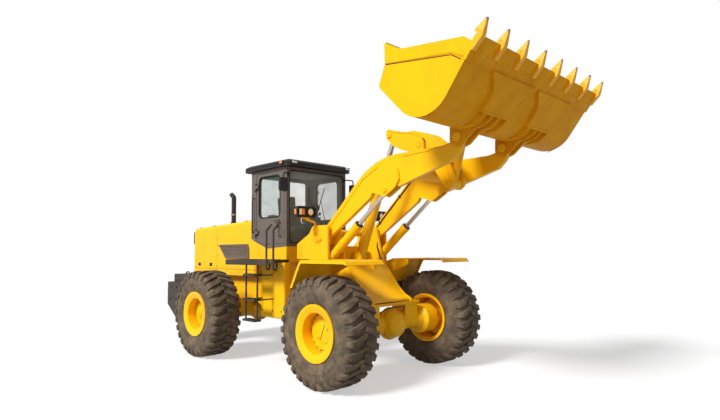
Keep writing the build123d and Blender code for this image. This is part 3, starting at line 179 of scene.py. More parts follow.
@dataclass(frozen=True)
class Paint:
    """Two-pack paint sprayed on steel plate or castings: an even colour with a soft gloss,
    a faint orange peel, and dust or scuffs where the machine works."""

    name: str
    colour: str
    roughness: float = 0.38
    pattern: Pattern = Pattern.DUSTY
    stain: str = "6B4A22"
    stain_share: float = 0.10
    patch_mm: float = 420.0
    grit_mm: float = 38.0
    grit_share: float = 0.45
    peel_mm: float = 14.0        # real orange peel is about 2 mm, drawn coarser so that it shows
    peel_depth: float = 0.05
    specular: float = 0.2

    def build(self) -> bpy.types.Material:
        """Make the material.

        Returns:
            The finished node material.
        """
        mat, shader, here = blank(self.name)
        tree = mat.node_tree
        cloud = add(tree, "ShaderNodeTexNoise",
                    {"Scale": per_mm(self.patch_mm), "Detail": 6.0, "Roughness": 0.6}, here)
        grit = add(tree, "ShaderNodeTexNoise",
                   {"Scale": per_mm(self.grit_mm), "Detail": 8.0, "Roughness": 0.7}, here)
        fine = add(tree, "ShaderNodeMath", {1: self.grit_share}, {0: grit.outputs["Fac"]},
                   operation="MULTIPLY")
        total = add(tree, "ShaderNodeMath", {}, {0: cloud.outputs["Fac"], 1: fine.outputs[0]},
                    operation="ADD")
        low, high = self.pattern.value
        mask = add(tree, "ShaderNodeMapRange", {1: low, 2: high, 3: 0.0, 4: self.stain_share},
                   {0: total.outputs[0]}, interpolation_type="SMOOTHSTEP")
        colour = add(tree, "ShaderNodeMix", {6: linear(self.colour), 7: linear(self.stain)},
                     {0: mask.outputs[0]}, data_type="RGBA")
        rough = add(tree, "ShaderNodeMapRange",
                    {1: 0.3, 2: 0.8, 3: self.roughness - 0.05, 4: self.roughness + 0.10},
                    {0: cloud.outputs["Fac"]})
        peel = add(tree, "ShaderNodeTexNoise", {"Scale": per_mm(self.peel_mm), "Detail": 2.0}, here)
        bump = add(tree, "ShaderNodeBump", {"Strength": self.peel_depth, "Distance": 0.002},
                   {"Height": peel.outputs["Fac"]})
        drive(tree, shader, {"Specular IOR Level": self.specular},
              {"Base Color": colour.outputs[2], "Roughness": rough.outputs[0],
               "Normal": bump.outputs["Normal"]})
        return mat


@dataclass(frozen=True)
class WornEnamelWithPaintedShade(Paint):
    """The same enamel on the bucket, scuffed, with painted shade: clean on the cheeks, and
    dulled to a darker ochre on the shell and edge between them, standing for their shade."""

    # painted shade: the darker ochre that the shell and edge get, standing for their shade
    film: str = "C06A0C"
    painted_shade_share: float = 0.42
    shade_patch_mm: float = 260.0
    cheek_m: float = 1.470       # how far out from the middle the painted shade reaches

    def build(self) -> bpy.types.Material:
        """Make the material.

        Returns:
            The finished node material.
        """
        mat = super().build()
        tree = mat.node_tree
        shader = tree.nodes["Principled BSDF"]
        place = add(tree, "ShaderNodeTexCoord")
        parts = add(tree, "ShaderNodeSeparateXYZ", links={0: place.outputs["Object"]})
        far = add(tree, "ShaderNodeMath", {}, {0: parts.outputs["Y"]}, operation="ABSOLUTE")
        # painted shade: the shell and edge, nearer the middle than the cheeks, are darkened towards
        # the ochre in noisy patches
        shell = add(tree, "ShaderNodeMath", {1: self.cheek_m}, {0: far.outputs[0]},
                    operation="LESS_THAN")
        shade_patches = add(tree, "ShaderNodeTexNoise", {"Scale": per_mm(self.shade_patch_mm), "Detail": 6.0},
                    {"Vector": place.outputs["Object"]})
        depth = add(tree, "ShaderNodeMapRange",
                    {1: 0.3, 2: 0.7, 3: 0.7 * self.painted_shade_share, 4: 1.3 * self.painted_shade_share},
                    {0: shade_patches.outputs["Fac"]})
        share = add(tree, "ShaderNodeMath", {}, {0: shell.outputs[0], 1: depth.outputs[0]},
                    operation="MULTIPLY")
        clean = shader.inputs["Base Color"].links[0].from_socket
        colour = add(tree, "ShaderNodeMix", {7: linear(self.film)},
                     {0: share.outputs[0], 6: clean}, data_type="RGBA")
        drive(tree, shader, links={"Base Color": colour.outputs[2]})
        return mat


@dataclass(frozen=True)
class TyreRubber:
    """Moulded natural rubber: dull and grey-brown, paler where dried mud and dust lie."""

    name: str = "moulded_tyre_rubber"
    colour: str = "4A4036"
    dust: str = "8E7A60"
    roughness: float = 0.86
    dust_mm: float = 160.0
    grain_mm: float = 22.0

    def build(self) -> bpy.types.Material:
        """Make the material.

        Returns:
            The finished node material.
        """
        mat, shader, here = blank(self.name)
        tree = mat.node_tree
        cloud = add(tree, "ShaderNodeTexNoise",
                    {"Scale": per_mm(self.dust_mm), "Detail": 8.0, "Roughness": 0.72}, here)
        mask = add(tree, "ShaderNodeMapRange", {1: 0.42, 2: 0.72, 3: 0.05, 4: 0.75},
                   {0: cloud.outputs["Fac"]})
        colour = add(tree, "ShaderNodeMix", {6: linear(self.colour), 7: linear(self.dust)},
                     {0: mask.outputs[0]}, data_type="RGBA")
        rough = add(tree, "ShaderNodeMapRange",
                    {1: 0.3, 2: 0.8, 3: self.roughness - 0.12, 4: self.roughness + 0.1},
                    {0: cloud.outputs["Fac"]})
        grain = add(tree, "ShaderNodeTexNoise", {"Scale": per_mm(self.grain_mm), "Detail": 6.0},
                    here)
        bump = add(tree, "ShaderNodeBump", {"Strength": 0.35, "Distance": 0.004},
                   {"Height": grain.outputs["Fac"]})
        drive(tree, shader, {"Specular IOR Level": 0.25},
              {"Base Color": colour.outputs[2], "Roughness": rough.outputs[0],
               "Normal": bump.outputs["Normal"]})
        return mat


@dataclass(frozen=True)
class Moulded:
    """Moulded ABS, rubber or gelcoat, or thick powder coat: dark, with a fine leathery grain."""

    name: str
    colour: str
    roughness: float = 0.55
    patch_mm: float = 300.0
    grain_mm: float = 9.0        # real grain is near 1 mm, drawn coarser so that it shows

    def build(self) -> bpy.types.Material:
        """Make the material.

        Returns:
            The finished node material.
        """
        mat, shader, here = blank(self.name)
        tree = mat.node_tree
        cell = add(tree, "ShaderNodeTexVoronoi", {"Scale": per_mm(self.grain_mm)}, here)
        wide = add(tree, "ShaderNodeTexNoise", {"Scale": per_mm(self.patch_mm), "Detail": 5.0},
                   here)
        value = add(tree, "ShaderNodeMapRange", {1: 0.3, 2: 0.7, 3: 0.85, 4: 1.25},
                    {0: wide.outputs["Fac"]})
        tone = add(tree, "ShaderNodeHueSaturation", {"Color": linear(self.colour)},
                   {"Value": value.outputs[0]})
        rough = add(tree, "ShaderNodeMapRange",
                    {1: 0.3, 2: 0.7, 3: self.roughness - 0.08, 4: self.roughness + 0.12},
                    {0: wide.outputs["Fac"]})
        bump = add(tree, "ShaderNodeBump", {"Strength": 0.12, "Distance": 0.001},
                   {"Height": cell.outputs["Distance"]})
        drive(tree, shader, {"Specular IOR Level": 0.3},
              {"Base Color": tone.outputs["Color"], "Roughness": rough.outputs[0],
               "Normal": bump.outputs["Normal"]})
        return mat


@dataclass(frozen=True)
class Metal:
    """Bare metal: turned, plated or ground, so its gloss is broken by fine scratches."""

    name: str
    colour: str
    roughness: float = 0.18
    scratch_mm: float = 12.0

    def build(self) -> bpy.types.Material:
        """Make the material.

        Returns:
            The finished node material.
        """
        mat, shader, here = blank(self.name)
        tree = mat.node_tree
        wear = add(tree, "ShaderNodeTexNoise",
                   {"Scale": per_mm(self.scratch_mm), "Detail": 8.0, "Roughness": 0.7}, here)
        value = add(tree, "ShaderNodeMapRange", {1: 0.3, 2: 0.75, 3: 1.05, 4: 0.75},
                    {0: wear.outputs["Fac"]})
        tone = add(tree, "ShaderNodeHueSaturation", {"Color": linear(self.colour)},
                   {"Value": value.outputs[0]})
        rough = add(tree, "ShaderNodeMapRange",
                    {1: 0.3, 2: 0.75, 3: self.roughness, 4: self.roughness + 0.2},
                    {0: wear.outputs["Fac"]})
        drive(tree, shader, {"Metallic": 1.0},
              {"Base Color": tone.outputs["Color"], "Roughness": rough.outputs[0]})
        return mat


@dataclass(frozen=True)
class Glazing:
    """Toughened glass with a faint green body tint, thin enough to see straight through."""

    name: str = "tinted_toughened_glass"
    colour: str = "D6ECE6"
    clearness: float = 0.93
    film_mm: float = 260.0

    def build(self) -> bpy.types.Material:
        """Make the material.

        Returns:
            The finished node material.
        """
        mat, shader, here = blank(self.name)
        tree = mat.node_tree
        film = add(tree, "ShaderNodeTexNoise", {"Scale": per_mm(self.film_mm), "Detail": 6.0}, here)
        rough = add(tree, "ShaderNodeMapRange", {1: 0.35, 2: 0.7, 3: 0.02, 4: 0.09},
                    {0: film.outputs["Fac"]})
        veil = add(tree, "ShaderNodeMapRange",
                   {1: 0.35, 2: 0.7, 3: 1.0 - self.clearness, 4: 1.08 - self.clearness},
                   {0: film.outputs["Fac"]})
        drive(tree, shader, {"Base Color": linear(self.colour), "IOR": 1.5},
              {"Roughness": rough.outputs[0], "Alpha": veil.outputs[0]})
        return mat


@dataclass(frozen=True)
class Lens:
    """Moulded lamp lens: clear or coloured acrylic over a bright reflector, with ribs."""

    name: str
    colour: str
    half_rib_mm: float = 14.0

    def build(self) -> bpy.types.Material:
        """Make the material.

        Returns:
            The finished node material.
        """
        mat, shader, here = blank(self.name)
        tree = mat.node_tree
        ribs = add(tree, "ShaderNodeTexWave",
                   {"Scale": per_half_wave(self.half_rib_mm), "Distortion": 0.0}, here,
                   bands_direction="Y")
        value = add(tree, "ShaderNodeMapRange", {3: 0.72, 4: 1.1}, {0: ribs.outputs["Fac"]})
        tone = add(tree, "ShaderNodeHueSaturation", {"Color": linear(self.colour)},
                   {"Value": value.outputs[0]})
        bump = add(tree, "ShaderNodeBump", {"Strength": 0.4, "Distance": 0.002},
                   {"Height": ribs.outputs["Fac"]})
        drive(tree, shader, {"Roughness": 0.12, "Coat Weight": 1.0, "Coat Roughness": 0.03},
              {"Base Color": tone.outputs["Color"], "Normal": bump.outputs["Normal"]})
        return mat


@dataclass(frozen=True)
class SeatCloth:
    """Woven polyester seat cloth: matt, with a soft sheen and a visible basket weave."""

    name: str = "woven_seat_cloth"
    colour: str = "2A2B2E"
    half_thread_mm: float = 6.0  # real threads are under 1 mm, drawn coarser so that they show

    def build(self) -> bpy.types.Material:
        """Make the material.

        Returns:
            The finished node material.
        """
        mat, shader, here = blank(self.name)
        tree = mat.node_tree
        warp, weft = (
            add(tree, "ShaderNodeTexWave", {"Scale": per_half_wave(self.half_thread_mm)}, here,
                bands_direction=way) for way in ("X", "Y"))
        weave = add(tree, "ShaderNodeMath", {}, {0: warp.outputs["Fac"], 1: weft.outputs["Fac"]},
                    operation="MULTIPLY")
        value = add(tree, "ShaderNodeMapRange", {3: 0.8, 4: 1.5}, {0: weave.outputs[0]})
        tone = add(tree, "ShaderNodeHueSaturation", {"Color": linear(self.colour)},
                   {"Value": value.outputs[0]})
        bump = add(tree, "ShaderNodeBump", {"Strength": 0.5, "Distance": 0.001},
                   {"Height": weave.outputs[0]})
        drive(tree, shader, {"Roughness": 0.9, "Sheen Weight": 0.3},
              {"Base Color": tone.outputs["Color"], "Normal": bump.outputs["Normal"]})
        return mat


@dataclass(frozen=True)
class ToothSteel:
    """Cast alloy-steel teeth sold painted: the enamel stays at the root and is ground away
    to dark bare steel at the tip."""

    name: str = "enamelled_tooth_casting"
    paint: str = "F2AC0A"
    steel: str = "6E5230"
    origin_m: Point = (3.691, 0.0, 3.750)
    along: Point = (0.6, 0.0, 0.8)
    worn_from_m: float = 0.385
    worn_to_m: float = 0.430
    ragged_m: float = 0.035      # how far the worn edge wanders
    grain_mm: float = 30.0

    def build(self) -> bpy.types.Material:
        """Make the material.

        Returns:
            The finished node material.
        """
        mat, shader, here = blank(self.name)
        tree = mat.node_tree
        local = add(tree, "ShaderNodeVectorMath", {1: self.origin_m}, {0: here["Vector"]},
                    operation="SUBTRACT")
        reach = add(tree, "ShaderNodeVectorMath", {1: self.along}, {0: local.outputs[0]},
                    operation="DOT_PRODUCT")
        grit = add(tree, "ShaderNodeTexNoise", {"Scale": per_mm(self.grain_mm), "Detail": 8.0},
                   here)
        shift = add(tree, "ShaderNodeMapRange", {3: -self.ragged_m, 4: self.ragged_m},
                    {0: grit.outputs["Fac"]})
        edge = add(tree, "ShaderNodeMath", {}, {0: reach.outputs["Value"], 1: shift.outputs[0]},
                   operation="ADD")
        worn = add(tree, "ShaderNodeMapRange", {1: self.worn_from_m, 2: self.worn_to_m},
                   {0: edge.outputs[0]})
        colour = add(tree, "ShaderNodeMix", {6: linear(self.paint), 7: linear(self.steel)},
                     {0: worn.outputs[0]}, data_type="RGBA")
        metal = add(tree, "ShaderNodeMath", {1: 0.5}, {0: worn.outputs[0]}, operation="MULTIPLY")
        rough = add(tree, "ShaderNodeMapRange", {3: 0.42, 4: 0.6}, {0: grit.outputs["Fac"]})
        bump = add(tree, "ShaderNodeBump", {"Strength": 0.3, "Distance": 0.003},
                   {"Height": grit.outputs["Fac"]})
        drive(tree, shader, links={
            "Base Color": colour.outputs[2], "Metallic": metal.outputs[0],
            "Roughness": rough.outputs[0], "Normal": bump.outputs["Normal"]})
        return mat


class Coat(Enum):
    """Every finish on the machine."""

    BODY = Paint("chrome_yellow_enamel", "F7B90C")
    # the bucket's enamel: scuffed, with painted shade on its shell and edge
    WORKED = WornEnamelWithPaintedShade("chrome_yellow_enamel_worked", "F7B90C", roughness=0.55, specular=0.1,
                         pattern=Pattern.SCUFFED, stain="8A5A1C", stain_share=0.12)
    CHASSIS = Paint("graphite_enamel_on_castings", "3A332E", roughness=0.55, stain="6E5E4C",
                    stain_share=0.45)
    CAB = Paint("umber_grey_enamel", "655B54", roughness=0.42, stain="8A7C70", stain_share=0.18)
    TOOTH = ToothSteel()
    SOOT = Paint("heat_proof_black_enamel", "2B2724", roughness=0.6, stain="5C4A3A",
                 stain_share=0.5)
    LOUVRE = Paint("stone_grey_enamel", "6B5E52", roughness=0.5, stain="8C8072", stain_share=0.3)
    ROOF = Moulded("glass_fibre_roof_gelcoat", "151211", roughness=0.6)
    DARK = Moulded("black_moulded_abs", "1B1A1A")
    SEAL = Moulded("epdm_window_seal", "121212", roughness=0.7)
    GRIP = Moulded("black_powder_coat", "262322", roughness=0.5)
    RUBBER = TyreRubber()
    GLASS = Glazing()
    DOOR_GLASS = Glazing("deep_tinted_toughened_glass", "5A7666", clearness=0.80)
    CHROME = Metal("hard_chrome_plated_rod", "C9C9C9", roughness=0.12)
    ZINC = Metal("zinc_plated_fastener", "A89A78", roughness=0.38)
    MIRROR = Metal("silvered_mirror", "D8DEE0", roughness=0.03)
    AMBER = Lens("amber_acrylic_lens", "F07A14")
    WHITE = Lens("clear_acrylic_lens", "F4F0E4")
    RED = Lens("red_acrylic_lens", "B8140C")
    SEAT = SeatCloth()


class Palette:
    """Builds each finish once and hands it out."""

    def __init__(self) -> None:
        """Start with no materials."""
        self._made: dict[str, bpy.types.Material] = {}

    def get(self, coat: Coat) -> bpy.types.Material:
        """Return the material of a finish, made on first use."""
        if coat.name not in self._made:
            self._made[coat.name] = coat.value.build()
        return self._made[coat.name]


PALETTE = Palette()


# ---------------------------------------------------------------- mesh making


def shade(mesh: bpy.types.Mesh, degrees: float) -> None:
    """Smooth a mesh's faces and keep its folds sharp.

    Args:
        mesh: The mesh to shade.
        degrees: Folds sharper than this stay crisp.
    """
    bm = bmesh.new()
    bm.from_mesh(mesh)
    limit = math.radians(degrees)
    for face in bm.faces:
        face.smooth = True
    for edge in bm.edges:
        if len(edge.link_faces) == 2:
            edge.smooth = edge.calc_face_angle(0.0) < limit
    bm.to_mesh(mesh)
    bm.free()


class Shape:
    """Gathers solids, given in millimetres from the articulation pin, into one mesh."""

    def __init__(self) -> None:
        """Start with an empty mesh."""
        self.bm = bmesh.new()

    def prism(self, outline: Sequence[tuple[float, float]], low: float, high: float,
              axis: str = "y", place: Matrix | None = None) -> Shape:
        """Add a plate with a flat outline.

        Args:
            outline: Corners in the plane square to the axis: (x, z), (x, y) or (y, z).
            low: Start along the axis.
            high: End along the axis.
            axis: The plate's direction, "x", "y" or "z".
            place: Where it goes, for a plate laid out in its own frame.

        Returns:
            This shape.
        """
        order = {
            "y": lambda a, b, c: (a, c, b),
            "z": lambda a, b, c: (a, b, c),
            "x": lambda a, b, c: (c, a, b),
        }[axis]
        rings = []
        for level in (low, high):
            ring = []
            for a, b in outline:
                point = Vector(order(a, b, level))
                ring.append(self.bm.verts.new(place @ point if place else point))
            rings.append(ring)
        count = len(outline)
        faces = [self.bm.faces.new(rings[0][::-1]), self.bm.faces.new(rings[1])]
        for k in range(count):
            n = (k + 1) % count
            faces.append(self.bm.faces.new((rings[0][k], rings[0][n], rings[1][n], rings[1][k])))
        bmesh.ops.recalc_face_normals(self.bm, faces=faces)
        return self

    def block(self, x: tuple[float, float], y: tuple[float, float], z: tuple[float, float],
              ease: float = 3.0, place: Matrix | None = None) -> Shape:
        """Add a block with eased edges.

        Args:
            x: Limits along the machine.
            y: Limits across it.
            z: Limits upwards.
            ease: Bevel of the edges.
            place: Where it goes, for a block laid out in its own frame.

        Returns:
            This shape.
        """
        spans = (x[1] - x[0], y[1] - y[0], z[1] - z[0])
        middle = Vector(((x[0] + x[1]) / 2, (y[0] + y[1]) / 2, (z[0] + z[1]) / 2))
        turn = Matrix.Translation(middle) @ Matrix.Diagonal((*spans, 1.0))
        made = bmesh.ops.create_cube(self.bm, size=1.0, matrix=place @ turn if place else turn)
        edges = list(dict.fromkeys(edge for vert in made["verts"] for edge in vert.link_edges))
        ease = min(ease, 0.3 * min(spans))
        bmesh.ops.bevel(self.bm, geom=edges, offset=ease, segments=2, affect="EDGES", profile=0.5)
        return self

    def lathe(self, profile: Sequence[tuple[float, float]], place: Matrix, steps: int = 48,
              closed: bool = False) -> Shape:
        """Add a turned body.

        Args:
            profile: (radius, height) pairs up the body's own Z.
            place: Where that Z axis goes.
            steps: Faces round the body.
            closed: Whether the profile comes back to its start, as a ring's does.

        Returns:
            This shape.
        """
        rings = []
        for radius, height in profile:
            if radius <= 0:
                rings.append([self.bm.verts.new(place @ Vector((0, 0, height)))])
                continue
            angles = [math.tau * k / steps for k in range(steps)]
            rings.append([
                self.bm.verts.new(place @ Vector((radius * math.cos(a), radius * math.sin(a),
                                                  height)))
                for a in angles
            ])
        pairs = list(zip(rings, rings[1:]))
        if closed:
            pairs.append((rings[-1], rings[0]))
        faces = []
        for lower, upper in pairs:
            for k in range(steps):
                n = (k + 1) % steps
                corners = []
                for vert in (lower[k % len(lower)], lower[n % len(lower)], upper[n % len(upper)],
                             upper[k % len(upper)]):
                    if vert not in corners:
                        corners.append(vert)
                if len(corners) > 2:
                    faces.append(self.bm.faces.new(corners))
        bmesh.ops.recalc_face_normals(self.bm, faces=faces)
        return self

    def mirror(self) -> Shape:
        """Add the same solids on the machine's other side.

        Returns:
            This shape.
        """
        every = self.bm.verts[:] + self.bm.edges[:] + self.bm.faces[:]
        made = bmesh.ops.duplicate(self.bm, geom=every)
        verts = [item for item in made["geom"] if isinstance(item, bmesh.types.BMVert)]
        faces = [item for item in made["geom"] if isinstance(item, bmesh.types.BMFace)]
        for vert in verts:
            vert.co.y = -vert.co.y
        bmesh.ops.reverse_faces(self.bm, faces=faces)
        return self

    def finish(self, name: str, body: str, coat: Coat,
               sharp: float = CRISP) -> bpy.types.Object:
        """Make the object, give it its finish and let it ride on its body.

        Args:
            name: The piece's name.
            body: The moving body that carries it.
            coat: Its finish.
            sharp: Folds sharper than this many degrees stay crisp.

        Returns:
            The finished piece.
        """
        for vert in self.bm.verts:
            vert.co = at(*vert.co)
        mesh = bpy.data.meshes.new(name)
        self.bm.to_mesh(mesh)
        self.bm.free()
        shade(mesh, sharp)
        return settle(mesh, name, body, coat)


def settle(mesh: bpy.types.Mesh, name: str, body: str, coat: Coat) -> bpy.types.Object:
    """Turn a finished mesh into a piece of the machine.

    Args:
        mesh: The mesh, in metres in the frame.
        name: The piece's name.
        body: The moving body that carries it.
        coat: Its finish, which also says its material slot.

    Returns:
        The piece.
    """
    mesh.materials.clear()
    mesh.materials.append(PALETTE.get(coat))
    piece = bpy.data.objects.new(name, mesh)
    bpy.context.scene.collection.objects.link(piece)
    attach(piece, body)
    return piece


def facing(point: Point, axis: Point) -> Matrix:
    """Return a place at a point whose Z runs along an axis."""
    turn = Vector(axis).normalized().to_track_quat("Z", "Y").to_matrix().to_4x4()
    return Matrix.Translation(Vector(point)) @ turn


# ---------------------------------------------------------------- geometry node trees


WASHER_WIDE = 1.45           # a washer's radius over its bolt's
WASHER_THICK = 0.3           # and its thickness over the head's


class Tree:
    """A geometry node group under construction, with named inputs."""

    def __init__(self, name: str, inputs: Sequence[tuple[str, str, object]]) -> None:
        """Make the group.

        Args:
            name: The group's name.
            inputs: Name, socket type and default of each input after the geometry.
        """
        self.tree = bpy.data.node_groups.new(name, "GeometryNodeTree")
        face = self.tree.interface
        face.new_socket("Geometry", in_out="INPUT", socket_type="NodeSocketGeometry")
        for label, kind, value in inputs:
            socket = face.new_socket(label, in_out="INPUT", socket_type=kind)
            if value is not None:
                socket.default_value = value
        face.new_socket("Geometry", in_out="OUTPUT", socket_type="NodeSocketGeometry")
        self.source = self.tree.nodes.new("NodeGroupInput").outputs

    def add(self, kind: str, values: dict | None = None, links: dict | None = None,
            **settings: object) -> bpy.types.Node:
        """Add a node to the group, as add() does."""
        return add(self.tree, kind, values, links, **settings)

    def close(self, geometry: bpy.types.NodeSocket) -> bpy.types.NodeTree:
        """Realize the instances, set the material and end the group.

        Args:
            geometry: The geometry made so far.

        Returns:
            The finished group.
        """
        real = self.add("GeometryNodeRealizeInstances", links={0: geometry})
        done = self.add("GeometryNodeSetMaterial",
                        links={"Geometry": real.outputs[0], "Material": self.source["Material"]})
        self.add("NodeGroupOutput", links={0: done.outputs[0]})
        return self.tree


def grow(base: bpy.types.Mesh, tree: bpy.types.NodeTree, name: str, body: str, coat: Coat,
         sharp: float = CRISP, **values: object) -> bpy.types.Object:
    """Run a node group on a base mesh and keep the result as a plain piece.

    Args:
        base: The mesh that the group starts from.
        tree: The node group.
        name: The piece's name.
        body: The moving body that carries it.
        coat: Its finish.
        sharp: Folds sharper than this many degrees stay crisp.
        values: The group's inputs by name, with spaces written as underscores.

    Returns:
        The finished piece.
    """
    seed = bpy.data.objects.new(name + "_seed", base)
    bpy.context.scene.collection.objects.link(seed)
    modifier = seed.modifiers.new("grow", "NODES")
    modifier.node_group = tree
    values["Material"] = PALETTE.get(coat)
    for item in tree.interface.items_tree:
        if item.in_out == "INPUT" and item.name.replace(" ", "_") in values:
            modifier[item.identifier] = values[item.name.replace(" ", "_")]
    graph = bpy.context.evaluated_depsgraph_get()
    mesh = bpy.data.meshes.new_from_object(seed.evaluated_get(graph))
    seed.modifiers.remove(modifier)
    bpy.data.objects.remove(seed)
    shade(mesh, sharp)
    return settle(mesh, name, body, coat)


def points_mesh(name: str, spots: Iterable[Spot]) -> bpy.types.Mesh:
    """Make a mesh of loose points, each with the direction it faces.

    Args:
        name: The mesh's name.
        spots: Place in millimetres and outward direction of each point.

    Returns:
        The points, with a "normal" attribute.
    """
    spots = list(spots)
    mesh = bpy.data.meshes.new(name)
    mesh.from_pydata([at(*spot) for spot, _ in spots], [], [])
    normal = mesh.attributes.new("normal", "FLOAT_VECTOR", "POINT")
    for k, (_, way) in enumerate(spots):
        normal.data[k].vector = Vector(way).normalized()
    return mesh


def line_mesh(name: str, lines: Iterable[Sequence[Point]]) -> bpy.types.Mesh:
    """Make a mesh of polylines.

    Args:
        name: The mesh's name.
        lines: The corners of each line, in millimetres.

    Returns:
        The lines as loose edges.
    """
    verts: list[Vector] = []
    edges: list[tuple[int, int]] = []
    for line in lines:
        start = len(verts)
        verts += [at(*point) for point in line]
        edges += [(start + k, start + k + 1) for k in range(len(line) - 1)]
    mesh = bpy.data.meshes.new(name)
    mesh.from_pydata(verts, edges, [])
    return mesh


def fastener_tree() -> bpy.types.NodeTree:
    """Make the group that puts a hexagon bolt and its washer on every point.

    Returns:
        The node group, with inputs Radius, Height and Material in metres.
    """
    t = Tree("hexagon_bolts", [("Radius", "NodeSocketFloat", 0.012),
                               ("Height", "NodeSocketFloat", 0.009),
                               ("Material", "NodeSocketMaterial", None)])
    washer_r = t.add("ShaderNodeMath", {1: WASHER_WIDE}, {0: t.source["Radius"]},
                     operation="MULTIPLY")
    washer_h = t.add("ShaderNodeMath", {1: WASHER_THICK}, {0: t.source["Height"]},
                     operation="MULTIPLY")
    head = t.add("GeometryNodeMeshCylinder", {"Vertices": 6},
                 {"Radius": t.source["Radius"], "Depth": t.source["Height"]})
    washer = t.add("GeometryNodeMeshCylinder", {"Vertices": 14},
                   {"Radius": washer_r.outputs[0], "Depth": washer_h.outputs[0]})
    lift = t.add("ShaderNodeCombineXYZ", links={"Z": washer_h.outputs[0]})
    head_up = t.add("GeometryNodeTransform",
                    links={"Geometry": head.outputs["Mesh"], "Translation": lift.outputs[0]})
    bolt = t.add("GeometryNodeJoinGeometry")
    for part in (head_up.outputs[0], washer.outputs["Mesh"]):
        t.tree.links.new(part, bolt.inputs[0])
    way = t.add("GeometryNodeInputNamedAttribute", {"Name": "normal"}, data_type="FLOAT_VECTOR")
    turn = t.add("FunctionNodeAlignRotationToVector", links={"Vector": way.outputs[0]}, axis="Z")
    place = t.add("GeometryNodeInstanceOnPoints", links={
        "Points": t.source["Geometry"], "Instance": bolt.outputs[0], "Rotation": turn.outputs[0]})
    return t.close(place.outputs[0])


def pipe_tree() -> bpy.types.NodeTree:
    """Make the group that bends a pipe along polylines.

    Returns:
        The node group, with inputs Radius, Bend, Sides and Material in metres.
    """
    t = Tree("bent_pipes", [("Radius", "NodeSocketFloat", 0.008),
                            ("Bend", "NodeSocketFloat", 0.04),
                            ("Sides", "NodeSocketInt", 10),
                            ("Material", "NodeSocketMaterial", None)])
    line = t.add("GeometryNodeMeshToCurve", links={0: t.source["Geometry"]})
    bent = t.add("GeometryNodeFilletCurve", {"Count": 5, "Limit Radius": True},
                 {"Curve": line.outputs[0], "Radius": t.source["Bend"]}, mode="POLY")
    ring = t.add("GeometryNodeCurvePrimitiveCircle",
                 links={"Resolution": t.source["Sides"], "Radius": t.source["Radius"]})
    tube = t.add("GeometryNodeCurveToMesh", {"Fill Caps": True},
                 {"Curve": bent.outputs[0], "Profile Curve": ring.outputs[0]})
    return t.close(tube.outputs[0])


def ring_tree() -> bpy.types.NodeTree:
    """Make the group that repeats a piece evenly round an axis along Y.

    Returns:
        The node group, with inputs Count, Centre and Material.
    """
    t = Tree("ring_of_pieces", [("Count", "NodeSocketInt", 26),
                                ("Centre", "NodeSocketVector", (0, 0, 0)),
                                ("Material", "NodeSocketMaterial", None)])
    spots = t.add("GeometryNodeMeshLine", {"Offset": (0, 0, 0)},
                  {"Count": t.source["Count"], "Start Location": t.source["Centre"]}, mode="OFFSET")
    number = t.add("GeometryNodeInputIndex")
    step = t.add("ShaderNodeMath", {0: math.tau}, {1: t.source["Count"]}, operation="DIVIDE")
    angle = t.add("ShaderNodeMath", {}, {0: number.outputs[0], 1: step.outputs[0]},
                  operation="MULTIPLY")
    turn = t.add("ShaderNodeCombineXYZ", links={"Y": angle.outputs[0]})
    place = t.add("GeometryNodeInstanceOnPoints", links={
        "Points": spots.outputs[0], "Instance": t.source["Geometry"], "Rotation": turn.outputs[0]})
    return t.close(place.outputs[0])


def studs_tree() -> bpy.types.NodeTree:
    """Make the group that covers plates with a staggered grid of raised anti-slip studs.

    Returns:
        The node group, with inputs Pitch, Stud and Material in metres.
    """
    t = Tree("anti_slip_studs", [("Pitch", "NodeSocketFloat", 0.05),
                                 ("Stud", "NodeSocketFloat", 0.012),
                                 ("Material", "NodeSocketMaterial", None)])
    spread = t.add("GeometryNodeDistributePointsOnFaces", {"Seed": 7, "Density Max": 420.0},
                   {"Mesh": t.source["Geometry"], "Distance Min": t.source["Pitch"]},
                   distribute_method="POISSON")
    stud = t.add("GeometryNodeMeshCone", {"Vertices": 8, "Depth": 0.003},
                 {"Radius Bottom": t.source["Stud"], "Radius Top": t.source["Stud"]})
    place = t.add("GeometryNodeInstanceOnPoints", links={
        "Points": spread.outputs["Points"], "Instance": stud.outputs["Mesh"]})
    return t.close(place.outputs[0])


@dataclass
class Workshop:
    """Holds the node groups, made once, and the calls that use them."""

    bolts: bpy.types.NodeTree = field(default_factory=fastener_tree)
    pipes: bpy.types.NodeTree = field(default_factory=pipe_tree)
    rings: bpy.types.NodeTree = field(default_factory=ring_tree)
    studs: bpy.types.NodeTree = field(default_factory=studs_tree)

    def bolt(self, name: str, body: str, spots: Iterable[Spot], radius: float, height: float,
             coat: Coat = Coat.ZINC) -> bpy.types.Object:
        """Put bolts of one size on a body.

        Args:
            name: The piece's name.
            body: The moving body that carries it.
            spots: Place and outward direction of each bolt.
            radius: Over the hexagon's corners, in millimetres.
            height: Of the head, in millimetres.
            coat: Their finish.

        Returns:
            All the bolts as one piece.
        """
        return grow(points_mesh(name, spots), self.bolts, name, body, coat,
                    Radius=radius / 1000, Height=height / 1000)

    def pipe(self, name: str, body: str, lines: Iterable[Sequence[Point]], radius: float,
             bend: float, coat: Coat, sides: int = 10) -> bpy.types.Object:
        """Bend pipes, bars or seals along lines on a body.

        Args:
            name: The piece's name.
            body: The moving body that carries it.
            lines: The corners of each line, in millimetres.
            radius: Of the pipe, in millimetres.
            bend: Radius of each bend, in millimetres.
            coat: Their finish.
            sides: Faces round the pipe.

        Returns:
            All the pipes as one piece.
        """
        return grow(line_mesh(name, lines), self.pipes, name, body, coat, sharp=50.0,
                    Radius=radius / 1000, Bend=bend / 1000, Sides=sides)


def both_sides(spots: Iterable[Spot]) -> list[Spot]:
    """Return the spots with their twins on the machine's other side."""
    spots = list(spots)
    return spots + [((p[0], -p[1], p[2]), (n[0], -n[1], n[2])) for p, n in spots]


